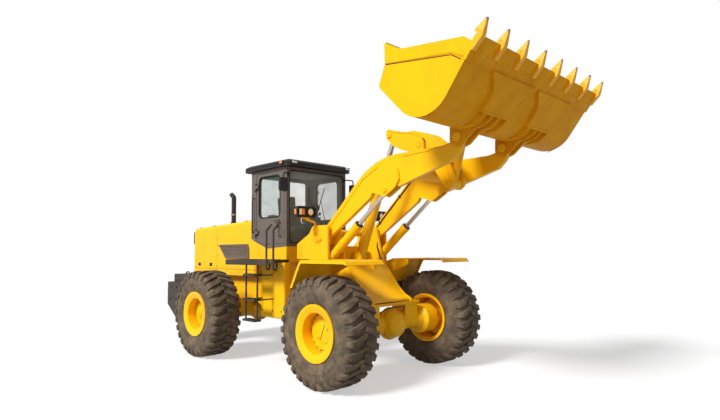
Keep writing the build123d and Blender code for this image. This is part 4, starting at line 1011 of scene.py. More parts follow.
def circle_spots(centre: Point, axis: Point, radius: float, count: int,
                 start: float = 0.0) -> list[Spot]:
    """Place bolts round a circle.

    Args:
        centre: The circle's middle.
        axis: The way that every bolt faces.
        radius: Of the bolt circle, in millimetres.
        count: How many bolts.
        start: Angle of the first, in radians.

    Returns:
        The bolts' spots.
    """
    place = facing(centre, axis)
    spots = []
    for k in range(count):
        angle = start + math.tau * k / count
        p = place @ Vector((radius * math.cos(angle), radius * math.sin(angle), 0))
        spots.append(((p.x, p.y, p.z), axis))
    return spots


# ---------------------------------------------------------------- sub-assemblies


@dataclass
class PaintShop:
    """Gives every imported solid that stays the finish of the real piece."""

    coats: dict[Coat, tuple[str, ...]] = field(default_factory=lambda: {
        Coat.BODY: ("engine_hood", "front_fenders", "side_tanks", "cab_base", "rear_frame",
                    "front_frame", "front_towers", "boom", "bell_crank", "tilt_link",
                    "tilt_barrel", "front_axle", "rear_axle", "rim_front_left",
                    "rim_front_right", "rim_rear_left", "rim_rear_right", "lift_barrel_left",
                    "lift_barrel_right", "steer_barrel_left", "steer_barrel_right"),
        Coat.WORKED: ("bucket",),
        Coat.TOOTH: ("bucket_teeth",),
        Coat.CHASSIS: ("counterweight", "walkways", "ladders", "handrails", "engine_block",
                       "front_drive_shaft", "rear_drive_shaft"),
        Coat.SOOT: ("exhaust_stack",),
        Coat.CAB: ("cab_rear_wall", "cab_front_wall", "cab_side_left", "cab_side_right",
                   "cab_door_left", "cab_door_right"),
        Coat.LOUVRE: ("hood_louvres",),
        Coat.ROOF: ("cab_roof",),
        Coat.DARK: ("radiator_grille", "steering_column", "headlamps", "roof_lamps", "rear_lamps",
                    "mirrors"),
        Coat.GLASS: ("cab_glass",),
        Coat.DOOR_GLASS: ("door_glass_left", "door_glass_right"),
        Coat.CHROME: ("tilt_rod", "lift_rod_left", "lift_rod_right", "steer_rod_left",
                      "steer_rod_right"),
        Coat.RUBBER: ("tyre_front_left", "tyre_front_right", "tyre_rear_left", "tyre_rear_right"),
        Coat.SEAT: ("operator_seat",),
    })

    def dress(self) -> None:
        """Put each finish on its nodes."""
        for coat, nodes in self.coats.items():
            for name in nodes:
                slots = frame["nodes"][name].data.materials
                slots.clear()
                slots.append(PALETTE.get(coat))


@dataclass
class Wheels:
    """Four 25-inch earthmover wheels: tyre carcass, tread lugs, wheel nuts and hub drum."""

    shop: Workshop
    track_y: float = 1165.0
    rolling_r: float = 748.0
    lug_count: int = 29
    lug_top: float = 0.84        # a lug's top over its foot, measured round the tyre
    hub_face: float = 85.0
    web_face: float = 55.0
    nut_circle: float = 252.0
    hub_circle: float = 205.0
    plug_circle: float = 112.0
    plug_angle: float = 0.6
    slot_angle: float = 1.15
    carcass: tuple[Pair, ...] = (
        # radius, and place across the tyre from its middle
        (352, -204), (384, -224), (398, -238), (412, -240), (420, -246), (470, -262), (500, -264),
        (508, -268.5), (524, -268.5), (532, -265), (575, -262), (632, -254), (676, -240),
        (700, -218), (709, -180), (713, 0),
    )
    lug: tuple[tuple[float, float, float, float, float], ...] = (
        # across, round, half thickness, top radius, foot radius
        (-14, -66, 36, 744, 700), (34, -52, 40, 745, 700), (96, -26, 45, 745.5, 700),
        (168, 10, 49, 743, 698), (226, 28, 52, 734, 676), (254, 34, 50, 714, 648),
        (268, 36, 42, 680, 622),
    )

    def lug_pair(self) -> bpy.types.Mesh:
        """Make one lug of each row, about the wheel's middle, in metres.

        Returns:
            The two lugs, half a pitch apart.
        """
        verts: list[tuple[float, float, float]] = []
        faces: list[tuple[int, ...]] = []
        half_pitch = math.pi / self.lug_count
        for row, shift in ((1, 0.0), (-1, half_pitch)):
            start = len(verts)
            for across, round_, half, top, foot in self.lug:
                tip = self.lug_top * half
                for u, r in ((round_ - half, foot), (round_ - tip, top), (round_ + tip, top),
                             (round_ + half, foot)):
                    angle = u / self.rolling_r + shift
                    verts.append((r * math.sin(angle) / 1000, row * across / 1000,
                                  r * math.cos(angle) / 1000))
            count = len(self.lug)
            quads = [(start, start + 1, start + 2, start + 3)]
            for k in range(count - 1):
                a = start + 4 * k
                for i in range(4):
                    j = (i + 1) % 4
                    quads.append((a + j, a + i, a + 4 + i, a + 4 + j))
            end = start + 4 * (count - 1)
            quads.append((end + 3, end + 2, end + 1, end))
            faces += quads if row > 0 else [q[::-1] for q in quads]
        mesh = bpy.data.meshes.new("tread_lugs")
        mesh.from_pydata(verts, [], faces)
        bm = bmesh.new()
        bm.from_mesh(mesh)
        bmesh.ops.recalc_face_normals(bm, faces=bm.faces)
        folds = [edge for edge in bm.edges if edge.calc_face_angle(0) > 0.7]
        bmesh.ops.bevel(bm, geom=folds, offset=0.006, segments=1, affect="EDGES")
        bm.to_mesh(mesh)
        bm.free()
        return mesh

    def wheel(self, name: str, x: float, side: int) -> None:
        """Build one wheel's tyre and dress its rim.

        Args:
            name: front_left, front_right, rear_left or rear_right.
            x: The axle's place.
            side: +1 on the left, -1 on the right.
        """
        body = "wheel_" + name
        centre = (x, side * self.track_y, AXLE_Z)
        profile = list(self.carcass) + [(r, -h) for r, h in self.carcass[-2::-1]]
        carcass = Shape().lathe(profile, facing(centre, (0, side, 0)), 96)
        tyre = carcass.finish("tyre_carcass_" + name, body, Coat.RUBBER, 40)
        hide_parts("tyre_" + name)
        grow(self.lug_pair(), self.shop.rings, "tyre_lugs_" + name, body, Coat.RUBBER, 20,
             Count=self.lug_count, Centre=at(*centre))
        out = (0.0, float(side), 0.0)
        web = (x, side * (self.track_y + self.web_face), AXLE_Z)
        face = (x, side * (self.track_y + self.hub_face), AXLE_Z)
        nuts = circle_spots(web, out, self.nut_circle, 20)
        self.shop.bolt("wheel_nuts_" + name, body, nuts, 15, 16)
        bolts = circle_spots(face, out, self.hub_circle, 12, 0.13)
        self.shop.bolt("hub_bolts_" + name, body, bolts, 9, 7, Coat.BODY)
        hub = Shape()
        place = facing(face, out)
        hub.lathe([(0, 0), (150, 0), (150, 7), (143, 10), (0, 10)], place, 56)
        for angle in (self.plug_angle, self.plug_angle + math.pi):
            spot = place @ Matrix.Translation(Vector((
                self.plug_circle * math.cos(angle), self.plug_circle * math.sin(angle), 9)))
            hub.lathe([(0, 0), (24, 0), (24, 12), (20, 15), (0, 15)], spot, 20)
        hub.finish("hub_cover_" + name, body, Coat.BODY)
        turn = place @ Matrix.Rotation(self.slot_angle, 4, "Z")
        # painted shade: a thin dark strip standing for the shade in the hub drum's slot
        slot_shade_strip = Shape().block((-118, 118), (-5, 5), (8.5, 13.5), 2, turn)
        slot_shade_strip.finish("hub_slot_" + name, body, Coat.SEAL)
        stem = [[(x + 60, side * (self.track_y + 190), AXLE_Z + 285),
                 (x + 60, side * (self.track_y + 225), AXLE_Z + 270)]]
        self.shop.pipe("valve_stem_" + name, body, stem, 6, 5, Coat.ZINC)

    def build(self) -> None:
        """Build all four wheels."""
        for end, sign in (("front", 1), ("rear", -1)):
            for side, hand in HANDS:
                self.wheel(f"{end}_{hand}", sign * AXLE_X, side)


@dataclass
class Axles:
    """Fasteners and brake pipes of the two drive axles."""

    shop: Workshop
    ball_offset: float = 90.0
    ball_r: float = 215.0
    arm_y: float = 725.0

    def build(self) -> None:
        """Bolt up both axles and run the brake pipe over the front differential."""
        for name, body, x, nose in (("front", "front_frame", AXLE_X, -1),
                                    ("rear", "rear_frame", -AXLE_X, 1)):
            middle = x - nose * self.ball_offset
            place = facing((middle + nose * 30, 0, AXLE_Z), (-nose, 0, 0))
            flange = Shape().lathe([(205, -16), (236, -16), (238, -13), (238, 13), (236, 16),
                                    (205, 16)], place, 64, True)
            flange.finish(f"differential_flange_{name}", body, Coat.BODY)
            spots = circle_spots((middle + nose * 14, 0, AXLE_Z), (-nose, 0, 0), 227, 22)
            for side, _ in HANDS:
                spots += circle_spots((x, side * (self.arm_y - 0.5), AXLE_Z), (0, -side, 0),
                                      200, 14)
            self.shop.bolt(f"axle_bolts_{name}", body, spots, 11, 10, Coat.BODY)
            spot = (middle - nose * (self.ball_r - 8), 0, AXLE_Z - 60)
            plug = Shape().lathe([(0, 0), (26, 0), (26, 9), (18, 14), (0, 14)],
                                 facing(spot, (-nose, 0, -0.3)), 6)
            plug.finish(f"oil_plug_{name}", body, Coat.ZINC)
        x = AXLE_X + self.ball_offset
        line = [(x - 40, -520, 882), (x - 40, -300, 895), (x + 110, -190, 985), (x + 150, 0, 1002),
                (x + 110, 190, 985), (x - 40, 300, 895), (x - 40, 520, 882)]
        self.shop.pipe("brake_pipe", "front_frame", [line], 7, 60, Coat.GRIP)
        clips = Shape()
        for y in (-505, 505):
            clips.block((x - 58, x - 22), (y - 12, y + 12), (868, 892), 3)
        clips.finish("brake_pipe_clips", "front_frame", Coat.CHASSIS)


@dataclass
class HoodAndRear:
    """Dark seam strips of painted shade, latches, hinges and rails of the hood; lamps, bolts and
    eyes of the counterweight.
    """

    shop: Workshop
    rear_x: float = -3350.0
    front_x: float = -1060.0
    half_y: float = 550.0
    low_z: float = 1380.0
    top_rear: float = 2310.0
    top_front: float = 2400.0
    seam_x: float = -2390.0
    weight_y: float = 1000.0
    lamp_x: float = -3446.3
    stack: Point = (-2280.0, -250.0, 2560.0)   # middle of the exhaust's clamp
    intake: Pair = (-1650.0, 250.0)            # (x, y) of the air intake

    def top(self, x: float) -> float:
        """Return the height of the hood's roof at x."""
        rise = (x - self.rear_x) * (self.top_front - self.top_rear)
        return self.top_rear + rise / (self.front_x - self.rear_x)

    def build(self) -> None:
        """Build every piece on the hood and the counterweight."""
        across = (self.seam_x - 3, self.seam_x + 3)
        skin = (self.half_y - 1, self.half_y + 1.2)
        ridge = self.top(self.seam_x)
        # painted shade: thin dark strips standing for the shade in the hood's panel gaps
        seam_shade_strips = Shape()
        seam_shade_strips.block(across, skin, (self.low_z + 8, ridge - 62), 0.5)
        seam_shade_strips.block((self.rear_x + 6, self.front_x - 6), skin, (1490, 1495), 0.5)
        seam_shade_strips.mirror()
        seam_shade_strips.block(across, (-490, 490), (ridge - 1, ridge + 1.2), 0.5)
        seam_shade_strips.finish("hood_seams", "rear_frame", Coat.SEAL)
        latch = Shape()
        for x in (-3080.0, -2620.0):
            latch.block((x - 45, x + 45), (self.half_y - 1, self.half_y + 9), (1545, 1605), 6)
            latch.block((x - 30, x + 30), (self.half_y + 8, self.half_y + 17), (1560, 1578), 4)
        latch.mirror()
        latch.finish("hood_latches", "rear_frame", Coat.DARK)
        hinges = Shape()
        for x in (-3100.0, -2560.0, -1400.0):
            hinges.block((x - 38, x + 38), (self.half_y - 70, self.half_y - 6),
                         (self.top(x) - 2, self.top(x) + 6), 2.5)
        hinges.mirror()
        hinges.finish("hood_hinges", "rear_frame", Coat.BODY)
        root, out = self.rear_x + 5, self.rear_x - 58
        rails = [[(root, y, 1985), (out, y, 1985), (out, y, 2235), (root, y, 2235)]
                 for y in (-505, 505)]
        self.shop.pipe("hood_grab_rails", "rear_frame", rails, 12, 26, Coat.GRIP)
        spots = [((x, self.half_y, 1420), (0, 1, 0)) for x in range(-3300, -1100, 240)]
        spots += [((self.seam_x + 26, self.half_y, z), (0, 1, 0))
                  for z in (1545, 1750, 1950, 2090)]
        spots = both_sides(spots)
        spots += [((self.rear_x, y, z), (-1, 0, 0)) for y in (-385, -130, 130, 385)
                  for z in (1514, 2106)]
        self.shop.bolt("hood_screws", "rear_frame", spots, 9, 5, Coat.ZINC)
        marker = Shape().prism([(-2262, 1928), (-2225, 1928), (-2205, 1908), (-2242, 1908)],
                               572, 576)
        marker.mirror()
        marker.finish("louvre_markers", "rear_frame", Coat.RED)
        self.counterweight()
        self.exhaust()

    def counterweight(self) -> None:
        """Build the lamps' lenses, tow pin, lifting eyes and bolts of the counterweight."""
        for name, coat, across in (("stop_lenses", Coat.RED, (700, 752)),
                                   ("rear_turn_lenses", Coat.AMBER, (758, 810)),
                                   ("reversing_lenses", Coat.WHITE, (816, 860))):
            lens = Shape().block((self.lamp_x - 4, self.lamp_x + 1), across, (1260, 1330), 3)
            lens.mirror().finish(name, "rear_frame", coat)
        pin = Shape().lathe([(0, 815), (22, 815), (24, 822), (24, 1240), (46, 1240), (46, 1256),
                             (30, 1262), (0, 1262)],
                            Matrix.Translation(Vector((-3480, 0, 0))), 28)
        pin.finish("tow_pin", "rear_frame", Coat.ZINC)
        eyes = [[(-3000, y, 1378), (-3000, y, 1425), (-2880, y, 1425), (-2880, y, 1378)]
                for y in (880, -880)]
        self.shop.pipe("lifting_eyes", "rear_frame", eyes, 13, 26, Coat.CHASSIS)
        spots = [((x, self.weight_y, z), (0, 1, 0)) for x in (-3430, -3180) for z in (880, 1120)]
        self.shop.bolt("counterweight_bolts", "rear_frame", both_sides(spots), 20, 14,
                       Coat.CHASSIS)

    def exhaust(self) -> None:
        """Build the exhaust's clamp band, its screw and the intake's rain cap."""
        x, y, z = self.stack
        band = Shape().lathe([(46, -14), (50.5, -14), (50.5, 14), (46, 14)],
                             Matrix.Translation(Vector(self.stack)), 40, True)
        band.block((x - 10, x + 10), (y - 58, y - 46), (z - 12, z + 12), 3)
        band.finish("exhaust_clamp", "rear_frame", Coat.ZINC)
        x, y = self.intake
        foot = self.top(x)
        cap = Shape().lathe([(0, foot - 3), (52, foot - 3), (52, foot + 70), (96, foot + 78),
                             (104, foot + 92), (104, foot + 138), (88, foot + 160),
                             (40, foot + 170), (0, foot + 172)],
                            Matrix.Translation(Vector((x, y, 0))), 40)
        cap.finish("air_intake_cap", "rear_frame", Coat.DARK)


@dataclass
class Cab:
    """Seals, lamps, wiper, mirrors and the operator's place."""

    shop: Workshop
    front: float = 30.0
    rear: float = -1000.0
    half_y: float = 665.0
    # Openings: the doors' x and z limits, then each end window's half width and z limits.
    door_window: tuple[float, float, float, float] = (-765.0, -150.0, 2400.0, 3110.0)
    screen: tuple[float, float, float] = (605.0, 1965.0, 3170.0)
    rear_window: tuple[float, float, float] = (565.0, 2350.0, 3140.0)
    # The roof's lower edge: x limits, half width and height.
    roof: tuple[float, float, float, float] = (-1175.0, 133.0, 725.0, 3238.0)
    seat_lean: float = -8.0

    def seals(self) -> None:
        """Run the rubber seals round every window and door."""
        x0, x1, z0, z1 = self.door_window
        for side, name in HANDS:
            y = side * (self.half_y - 1)
            loop = [(x0, y, z0), (x1, y, z0), (x1, y, z1), (x0, y, z1)]
            self.shop.pipe("door_window_seal_" + name, "cab_door_" + name,
                           [self.open_at_middle(loop)], 11, 88, Coat.SEAL)
        for name, x, (half, low, high), bend in (
                ("windscreen_seal", self.front - 1, self.screen, 50),
                ("rear_window_seal", self.rear + 1, self.rear_window, 60)):
            loop = [(x, -half, low), (x, half, low), (x, half, high), (x, -half, high)]
            self.shop.pipe(name, "rear_frame", [self.open_at_middle(loop)], 10, bend, Coat.SEAL)

    @staticmethod
    def open_at_middle(loop: Sequence[Point]) -> list[Point]:
        """Return a four-cornered loop that starts and ends in the middle of its first side."""
        start = tuple((a + b) / 2 for a, b in zip(loop[0], loop[1]))
        return [start, *loop[1:], loop[0], start]

    def lamps(self) -> None:
        """Put lenses on the roof lamps and a trim line round the roof."""
        lens = Shape().block((158, 163), (-648, -552), (3272, 3308), 4)
        lens.block((158, 163), (552, 648), (3272, 3308), 4)
        lens.finish("roof_lamp_lenses", "rear_frame", Coat.WHITE)
        lens = Shape().block((-53, 19), (-755, -750), (3270, 3310), 4)
        lens.block((-53, 19), (725, 752), (3265, 3315), 6)
        lens.finish("roof_marker_lenses", "rear_frame", Coat.AMBER)
        x0, x1, y, z = self.roof
        loop = [(x0, -y, z), (x1, -y, z), (x1, y, z), (x0, y, z)]
        self.shop.pipe("roof_drip_edge", "rear_frame", [self.open_at_middle(loop)], 8, 100,
                       Coat.GRIP)
        puck = Shape().lathe([(0, 3352), (62, 3352), (62, 3366), (0, 3366)],
                             Matrix.Translation(Vector((-900, 0, 0))), 32)
        puck.finish("aerial_base", "rear_frame", Coat.DARK)

    def outside(self) -> None:
        """Add the wiper, grab handles, mirror glass, door locks and wall bolts."""
        wiper = [[(44, 250, 1995), (52, 250, 2010), (47, 60, 2680)]]
        self.shop.pipe("wiper_arm", "rear_frame", wiper, 6, 12, Coat.DARK)
        blade = Shape().prism([(-40, 2430), (-30, 2424), (150, 2916), (140, 2920)], 38, 46, "x")
        blade.block((30, 62), (222, 278), (1975, 2018), 7)
        blade.finish("wiper_blade", "rear_frame", Coat.SEAL)
        for side, name in HANDS:
            y = side * self.half_y
            out = y + side * 45
            bars = [[(-118, y, 2065), (-118, out, 2065), (-118, out, 2300), (-118, y, 2300)]]
            self.shop.pipe("door_grab_bar_" + name, "cab_door_" + name, bars, 9, 22, Coat.GRIP)
            across = tuple(sorted((y - side, y + side * 7)))
            lock = Shape().block((-250, -165), across, (2215, 2262), 8)
            lock.finish("door_lock_" + name, "cab_door_" + name, Coat.DARK)
            across = tuple(sorted((side * 722, side * 848)))
            glass = Shape().block((77, 79.8), across, (2822, 2998), 1)
            glass.finish("mirror_glass_" + name, "rear_frame", Coat.MIRROR)
            out = y + side * 50
            rail = [[(-905, y, 2160), (-905, out, 2160), (-905, out, 2760), (-905, y, 2760)]]
            self.shop.pipe("cab_grab_rail_" + name, "rear_frame", rail, 11, 30, Coat.GRIP)
        spots = both_sides([((x, self.half_y + 4, z), (0, 1, 0)) for x in (-975, -18)
                            for z in (2150, 2480, 2810, 3140)])
        spots += [((self.front, y, z), (1, 0, 0)) for y in (-645, 645)
                  for z in (2000, 2300, 2600, 2900)]
        self.shop.bolt("cab_bolts", "rear_frame", spots, 8, 5, Coat.GRIP)

    def inside(self) -> None:
        """Build the steering wheel's grip, console, levers, dash, armrest and headlining."""
        wheel = Shape()
        place = Matrix.Translation(Vector((-215, 0, 2530)))
        place @= Matrix.Rotation(math.radians(-30), 4, "Y")
        angles = [math.tau * k / 12 for k in range(12)]
        grip = [(188 + 19 * math.cos(a), 15 * math.sin(a)) for a in angles]
        wheel.lathe(grip, place, 56, True)
        wheel.lathe([(0, -16), (52, -16), (58, -6), (58, 10), (46, 20), (0, 22)], place, 32)
        wheel.finish("steering_wheel_grip", "rear_frame", Coat.DARK, 45)
        dash = Shape().block((-185, -95), (-190, 190), (2310, 2420), 22)
        dash.block((-700, -380), (270, 420), (1905, 2330), 24)
        dash.block((-640, -330), (285, 400), (2326, 2380), 18)
        dash.block((-700, -380), (-420, -270), (1905, 2290), 24)
        dash.finish("cab_consoles", "rear_frame", Coat.DARK)
        levers = [[(-420, 320, 2378), (-410, 320, 2480)], [(-480, 350, 2378), (-470, 350, 2480)],
                  [(-150, 90, 2400), (-160, 210, 2470)]]
        self.shop.pipe("control_levers", "rear_frame", levers, 7, 10, Coat.GRIP)
        knobs = Shape()
        for x, y, z in ((-410, 320, 2480), (-470, 350, 2480), (-160, 210, 2470)):
            angles = [math.pi * k / 8 for k in range(9)]
            ball = [(24 * math.sin(a), -28 * math.cos(a)) for a in angles]
            ball[0], ball[-1] = (0, -28), (0, 28)
            knobs.lathe(ball, Matrix.Translation(Vector((x, y, z + 14))), 20)
        knobs.finish("lever_knobs", "rear_frame", Coat.DARK, 60)
        trim = Shape().block((-930, -30), (-600, 600), (3196, 3222), 10)
        trim.finish("headlining", "rear_frame", Coat.SEAT)

    def seat(self) -> None:
        """Build the padded seat: cushion, backrest with bolsters and head pad."""
        parts = (
            # name, x limits, y limits, z limits, lean in degrees
            ("seat_cushion", (-770.0, -310.0), (-232.0, 232.0), (2166.0, 2262.0), 0.0),
            ("seat_back", (-795.0, -690.0), (-222.0, 222.0), (2235.0, 2640.0), self.seat_lean),
            ("seat_head_pad", (-850.0, -770.0), (-150.0, 150.0), (2665.0, 2830.0), self.seat_lean),
        )
        for k, (name, x, y, z, lean) in enumerate(parts):
            piece = self.pad(name, x, y, z, lean)
            if k == 0:
                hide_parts("operator_seat")
        stand = Shape().block((-660, -460), (-120, 120), (1901, 2165), 16)
        stand.block((-775, -330), (-205, 205), (2140, 2172), 10)
        back = Matrix.Translation(Vector((-790, 0, 2200)))
        back @= Matrix.Rotation(math.radians(self.seat_lean), 4, "Y")
        stand.block((-14, 10), (-190, 190), (-20, 600), 8, back)
        stand.finish("seat_pedestal", "rear_frame", Coat.DARK)

    @staticmethod
    def pad(name: str, x: tuple[float, float], y: tuple[float, float], z: tuple[float, float],
            lean: float) -> bpy.types.Object:
        """Make one crowned pad with two sewn channels and a welt.

        Args:
            name: The piece's name.
            x: Limits along the machine.
            y: Limits across it.
            z: Limits upwards.
            lean: Turn about the machine's Y, in degrees.

        Returns:
            The pad.
        """
        bm = bmesh.new()
        bmesh.ops.create_cube(bm, size=2.0)
        bmesh.ops.subdivide_edges(bm, edges=bm.edges[:], cuts=15, use_grid_fill=True)
        half = Vector(((x[1] - x[0]) / 2, (y[1] - y[0]) / 2, (z[1] - z[0]) / 2))
        thin = min(range(3), key=lambda i: half[i])
        wide = [i for i in range(3) if i != thin]
        middle = Vector(((x[0] + x[1]) / 2, (y[0] + y[1]) / 2, (z[0] + z[1]) / 2))
        turn = Matrix.Translation(middle) @ Matrix.Rotation(math.radians(lean), 4, "Y")
        for vert in bm.verts:
            p = vert.co.copy()
            a, b = p[wide[0]], p[wide[1]]
            swell = (1 - abs(a) ** 6) * (1 - abs(b) ** 6)
            crown = 0.55 + 0.45 * max(swell, 0.0) ** 0.5
            seam = min(abs(abs(p.y) - 0.52), 1.0)
            crown -= 0.13 * math.exp(-(seam / 0.035) ** 2)
            p[thin] *= crown
            pull = 1.0 - 0.03 * (1 - abs(p[thin]))
            p = Vector((p.x * half.x * pull, p.y * half.y * pull, p.z * half.z * pull))
            vert.co = turn @ p
        for vert in bm.verts:
            vert.co = at(*vert.co)
        mesh = bpy.data.meshes.new(name)
        bm.to_mesh(mesh)
        bm.free()
        shade(mesh, 80)
        piece = settle(mesh, name, "rear_frame", Coat.SEAT)
        return piece

    def build(self) -> None:
        """Build every piece of the cab."""
        self.seals()
        self.lamps()
        self.outside()
        self.inside()
        self.seat()


@dataclass
class DeckAndSteps:
    """Anti-slip studs, treads, valances, mats, handrails and fasteners round the platform."""

    shop: Workshop
    deck_z: float = 1690.0
    edge_y: float = 1150.4
    steps_z: tuple[float, ...] = (712.0, 1040.0, 1430.0)
    rail_x: Pair = (190.0, 372.0)
    rail_y: float = 1166.3

    def build(self) -> None:
        """Build the platform's pieces."""
        mesh = bpy.data.meshes.new("deck_areas")
        corners = [(-1035, 690), (80, 690), (80, 1135), (-1035, 1135)]
        verts = [at(x, s * y, self.deck_z + 0.5) for s in (1, -1) for x, y in corners]
        mesh.from_pydata(verts, [], [(0, 1, 2, 3), (7, 6, 5, 4)])
        grow(mesh, self.shop.studs, "deck_studs", "rear_frame", Coat.CHASSIS,
             Pitch=0.034, Stud=0.010)
        treads = Shape()
        for z in self.steps_z:
            for x in range(-440, -150, 28):
                treads.prism([(x, 1052), (x + 13, 1052), (x + 13, 1156), (x, 1156)],
                             z + 29.5, z + 36, "z")
        treads.mirror()
        treads.finish("step_treads", "rear_frame", Coat.CHASSIS)
        valance = Shape().block((-1035, 160), (self.edge_y, 1155), (1606, 1688), 1.5).mirror()
        valance.finish("deck_valances", "rear_frame", Coat.CHASSIS)
        spots = [((x, 1155, 1665), (0, 1, 0)) for x in range(-980, 160, 170)]
        spots += [((x, 800, z), (0, 1, 0)) for x in (-440, -160, 80) for z in (1590, 860)]
        self.shop.bolt("deck_bolts", "rear_frame", both_sides(spots), 10, 7, Coat.CHASSIS)
        filler = Shape().lathe([(0, 0), (58, 0), (58, 20), (50, 30), (0, 32)],
                               facing((-60, 800, 1470), (0, 1, 0.35)), 28)
        filler.mirror()
        filler.finish("tank_caps", "rear_frame", Coat.BODY)
        drain = Shape().lathe([(0, 0), (20, 0), (20, 14), (0, 14)],
                              facing((-170, 600, 741), (0, 0, -1)), 6)
        drain.mirror().finish("tank_drains", "rear_frame", Coat.ZINC)
        bracket = Shape()
        for x in self.rail_x:
            bracket.block((x - 26, x + 26), (self.edge_y, self.edge_y + 7.6), (1646, 1686), 2.5)
        bracket.mirror()
        bracket.finish("handrail_brackets", "rear_frame", Coat.CHASSIS)
        under, out = self.deck_z - 50.3, self.rail_y
        rails = [[(x, s * (out - 64), under), (x, s * (out - 64), under - 95),
                  (x, s * out, under - 95), (x, s * out, 2150), (x, s * (out - 90), 2240)]
                 for x in self.rail_x for s, _ in HANDS]
        bars = self.shop.pipe("boarding_handrails", "rear_frame", rails, 16, 31, Coat.CHASSIS,
                              sides=18)
        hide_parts("handrails")
        mat = Shape().prism([(80, 905), (385, 1110), (385, 1138), (80, 1138)],
                            self.deck_z, self.deck_z + 4, "z")
        mat.mirror().finish("deck_mats", "rear_frame", Coat.SEAL)


@dataclass
class FrontHalf:
    """Pin keepers, bolts, lamp lenses, pipes, control valve and mud flaps of the front frame."""

    shop: Workshop
    # Pins as (x, z).
    boom_pivot: Pair = (800.0, 2000.0)
    lift_base: Pair = (820.0, 1580.0)
    tower_y: float = 655.0

    def build(self) -> None:
        """Build the tower's pieces."""
        covers, spots = Shape(), []
        for x, z in (self.boom_pivot, self.lift_base):
            covers.lathe([(0, 0), (44, 0), (44, 9), (38, 13), (0, 13)],
                         facing((x, self.tower_y + 13, z), (0, 1, 0)), 36)
            covers.block((x - 14, x + 96), (self.tower_y + 8, self.tower_y + 20),
                         (z - 20, z + 20), 4)
            spots += circle_spots((x, self.tower_y + 26, z), (0, 1, 0), 26, 3, 0.5)
            spots.append(((x + 78, self.tower_y + 20, z), (0, 1, 0)))
        covers.mirror()
        covers.finish("tower_pin_keepers", "front_frame", Coat.BODY)
        spots += [((x, self.tower_y + 12.5, 1560 + 0.12 * (x - 980)), (0, 1, 0))
                  for x in (980, 1120, 1260, 1420)]
        spots += [((x, y, 1700), (0, 0, 1)) for x in (1400, 1760, 2060) for y in (740, 1280)]
        self.shop.bolt("tower_bolts", "front_frame", both_sides(spots), 11, 8, Coat.BODY)
        lens = Shape().lathe([(0, 0), (46, 0), (46, 3), (30, 9), (0, 12)],
                             facing((805.3, 790, 2415), (1, 0, 0)), 40)
        lens.mirror().finish("headlamp_lenses", "front_frame", Coat.WHITE)
        bezel = Shape().lathe([(44, 0), (54, 0), (54, 5), (47, 8)],
                              facing((804, 790, 2415), (1, 0, 0)), 40, True)
        bezel.mirror().finish("headlamp_bezels", "front_frame", Coat.ZINC)
        for name, coat, x, y, z, ease in (
                ("turn_lenses", Coat.AMBER, (803, 809), (904, 955), (2370, 2460), 4),
                ("position_lenses", Coat.WHITE, (803, 809), (960, 1006), (2370, 2460), 4),
                ("side_turn_lenses", Coat.AMBER, (745, 790), (1050, 1055), (2375, 2455), 2)):
            Shape().block(x, y, z, ease).mirror().finish(name, "front_frame", coat)
        lines = []
        for s, _ in HANDS:
            lines.append([(640, s * 300, 1445), (900, s * 300, 1445), (1010, s * 330, 1260),
                          (1200, s * 350, 1090), (1500, s * 350, 1062)])
            lines.append([(640, s * 270, 1460), (920, s * 270, 1460), (960, s * 200, 1560),
                          (1000, s * 150, 1640)])
            lines.append([(1060, s * (self.tower_y - 225), 2050), (1080, s * 380, 1890),
                          (1180, s * 380, 1620), (1420, s * 380, 1330)])
        self.shop.pipe("tower_pipes", "front_frame", lines, 11, 50, Coat.GRIP)
        valve = Shape().block((645, 800), (-230, 230), (1444, 1560), 10)
        for y in (-170, -60, 50, 160):
            valve.block((660, 785), (y - 38, y + 38), (1556, 1600), 6)
        valve.finish("control_valve", "front_frame", Coat.CHASSIS)
        flaps = Shape().prism([(1020, 1330), (1032, 1308), (1036, 1150), (1026, 1150)], 700, 1330)
        flaps.mirror().finish("mud_flaps", "front_frame", Coat.SEAL)


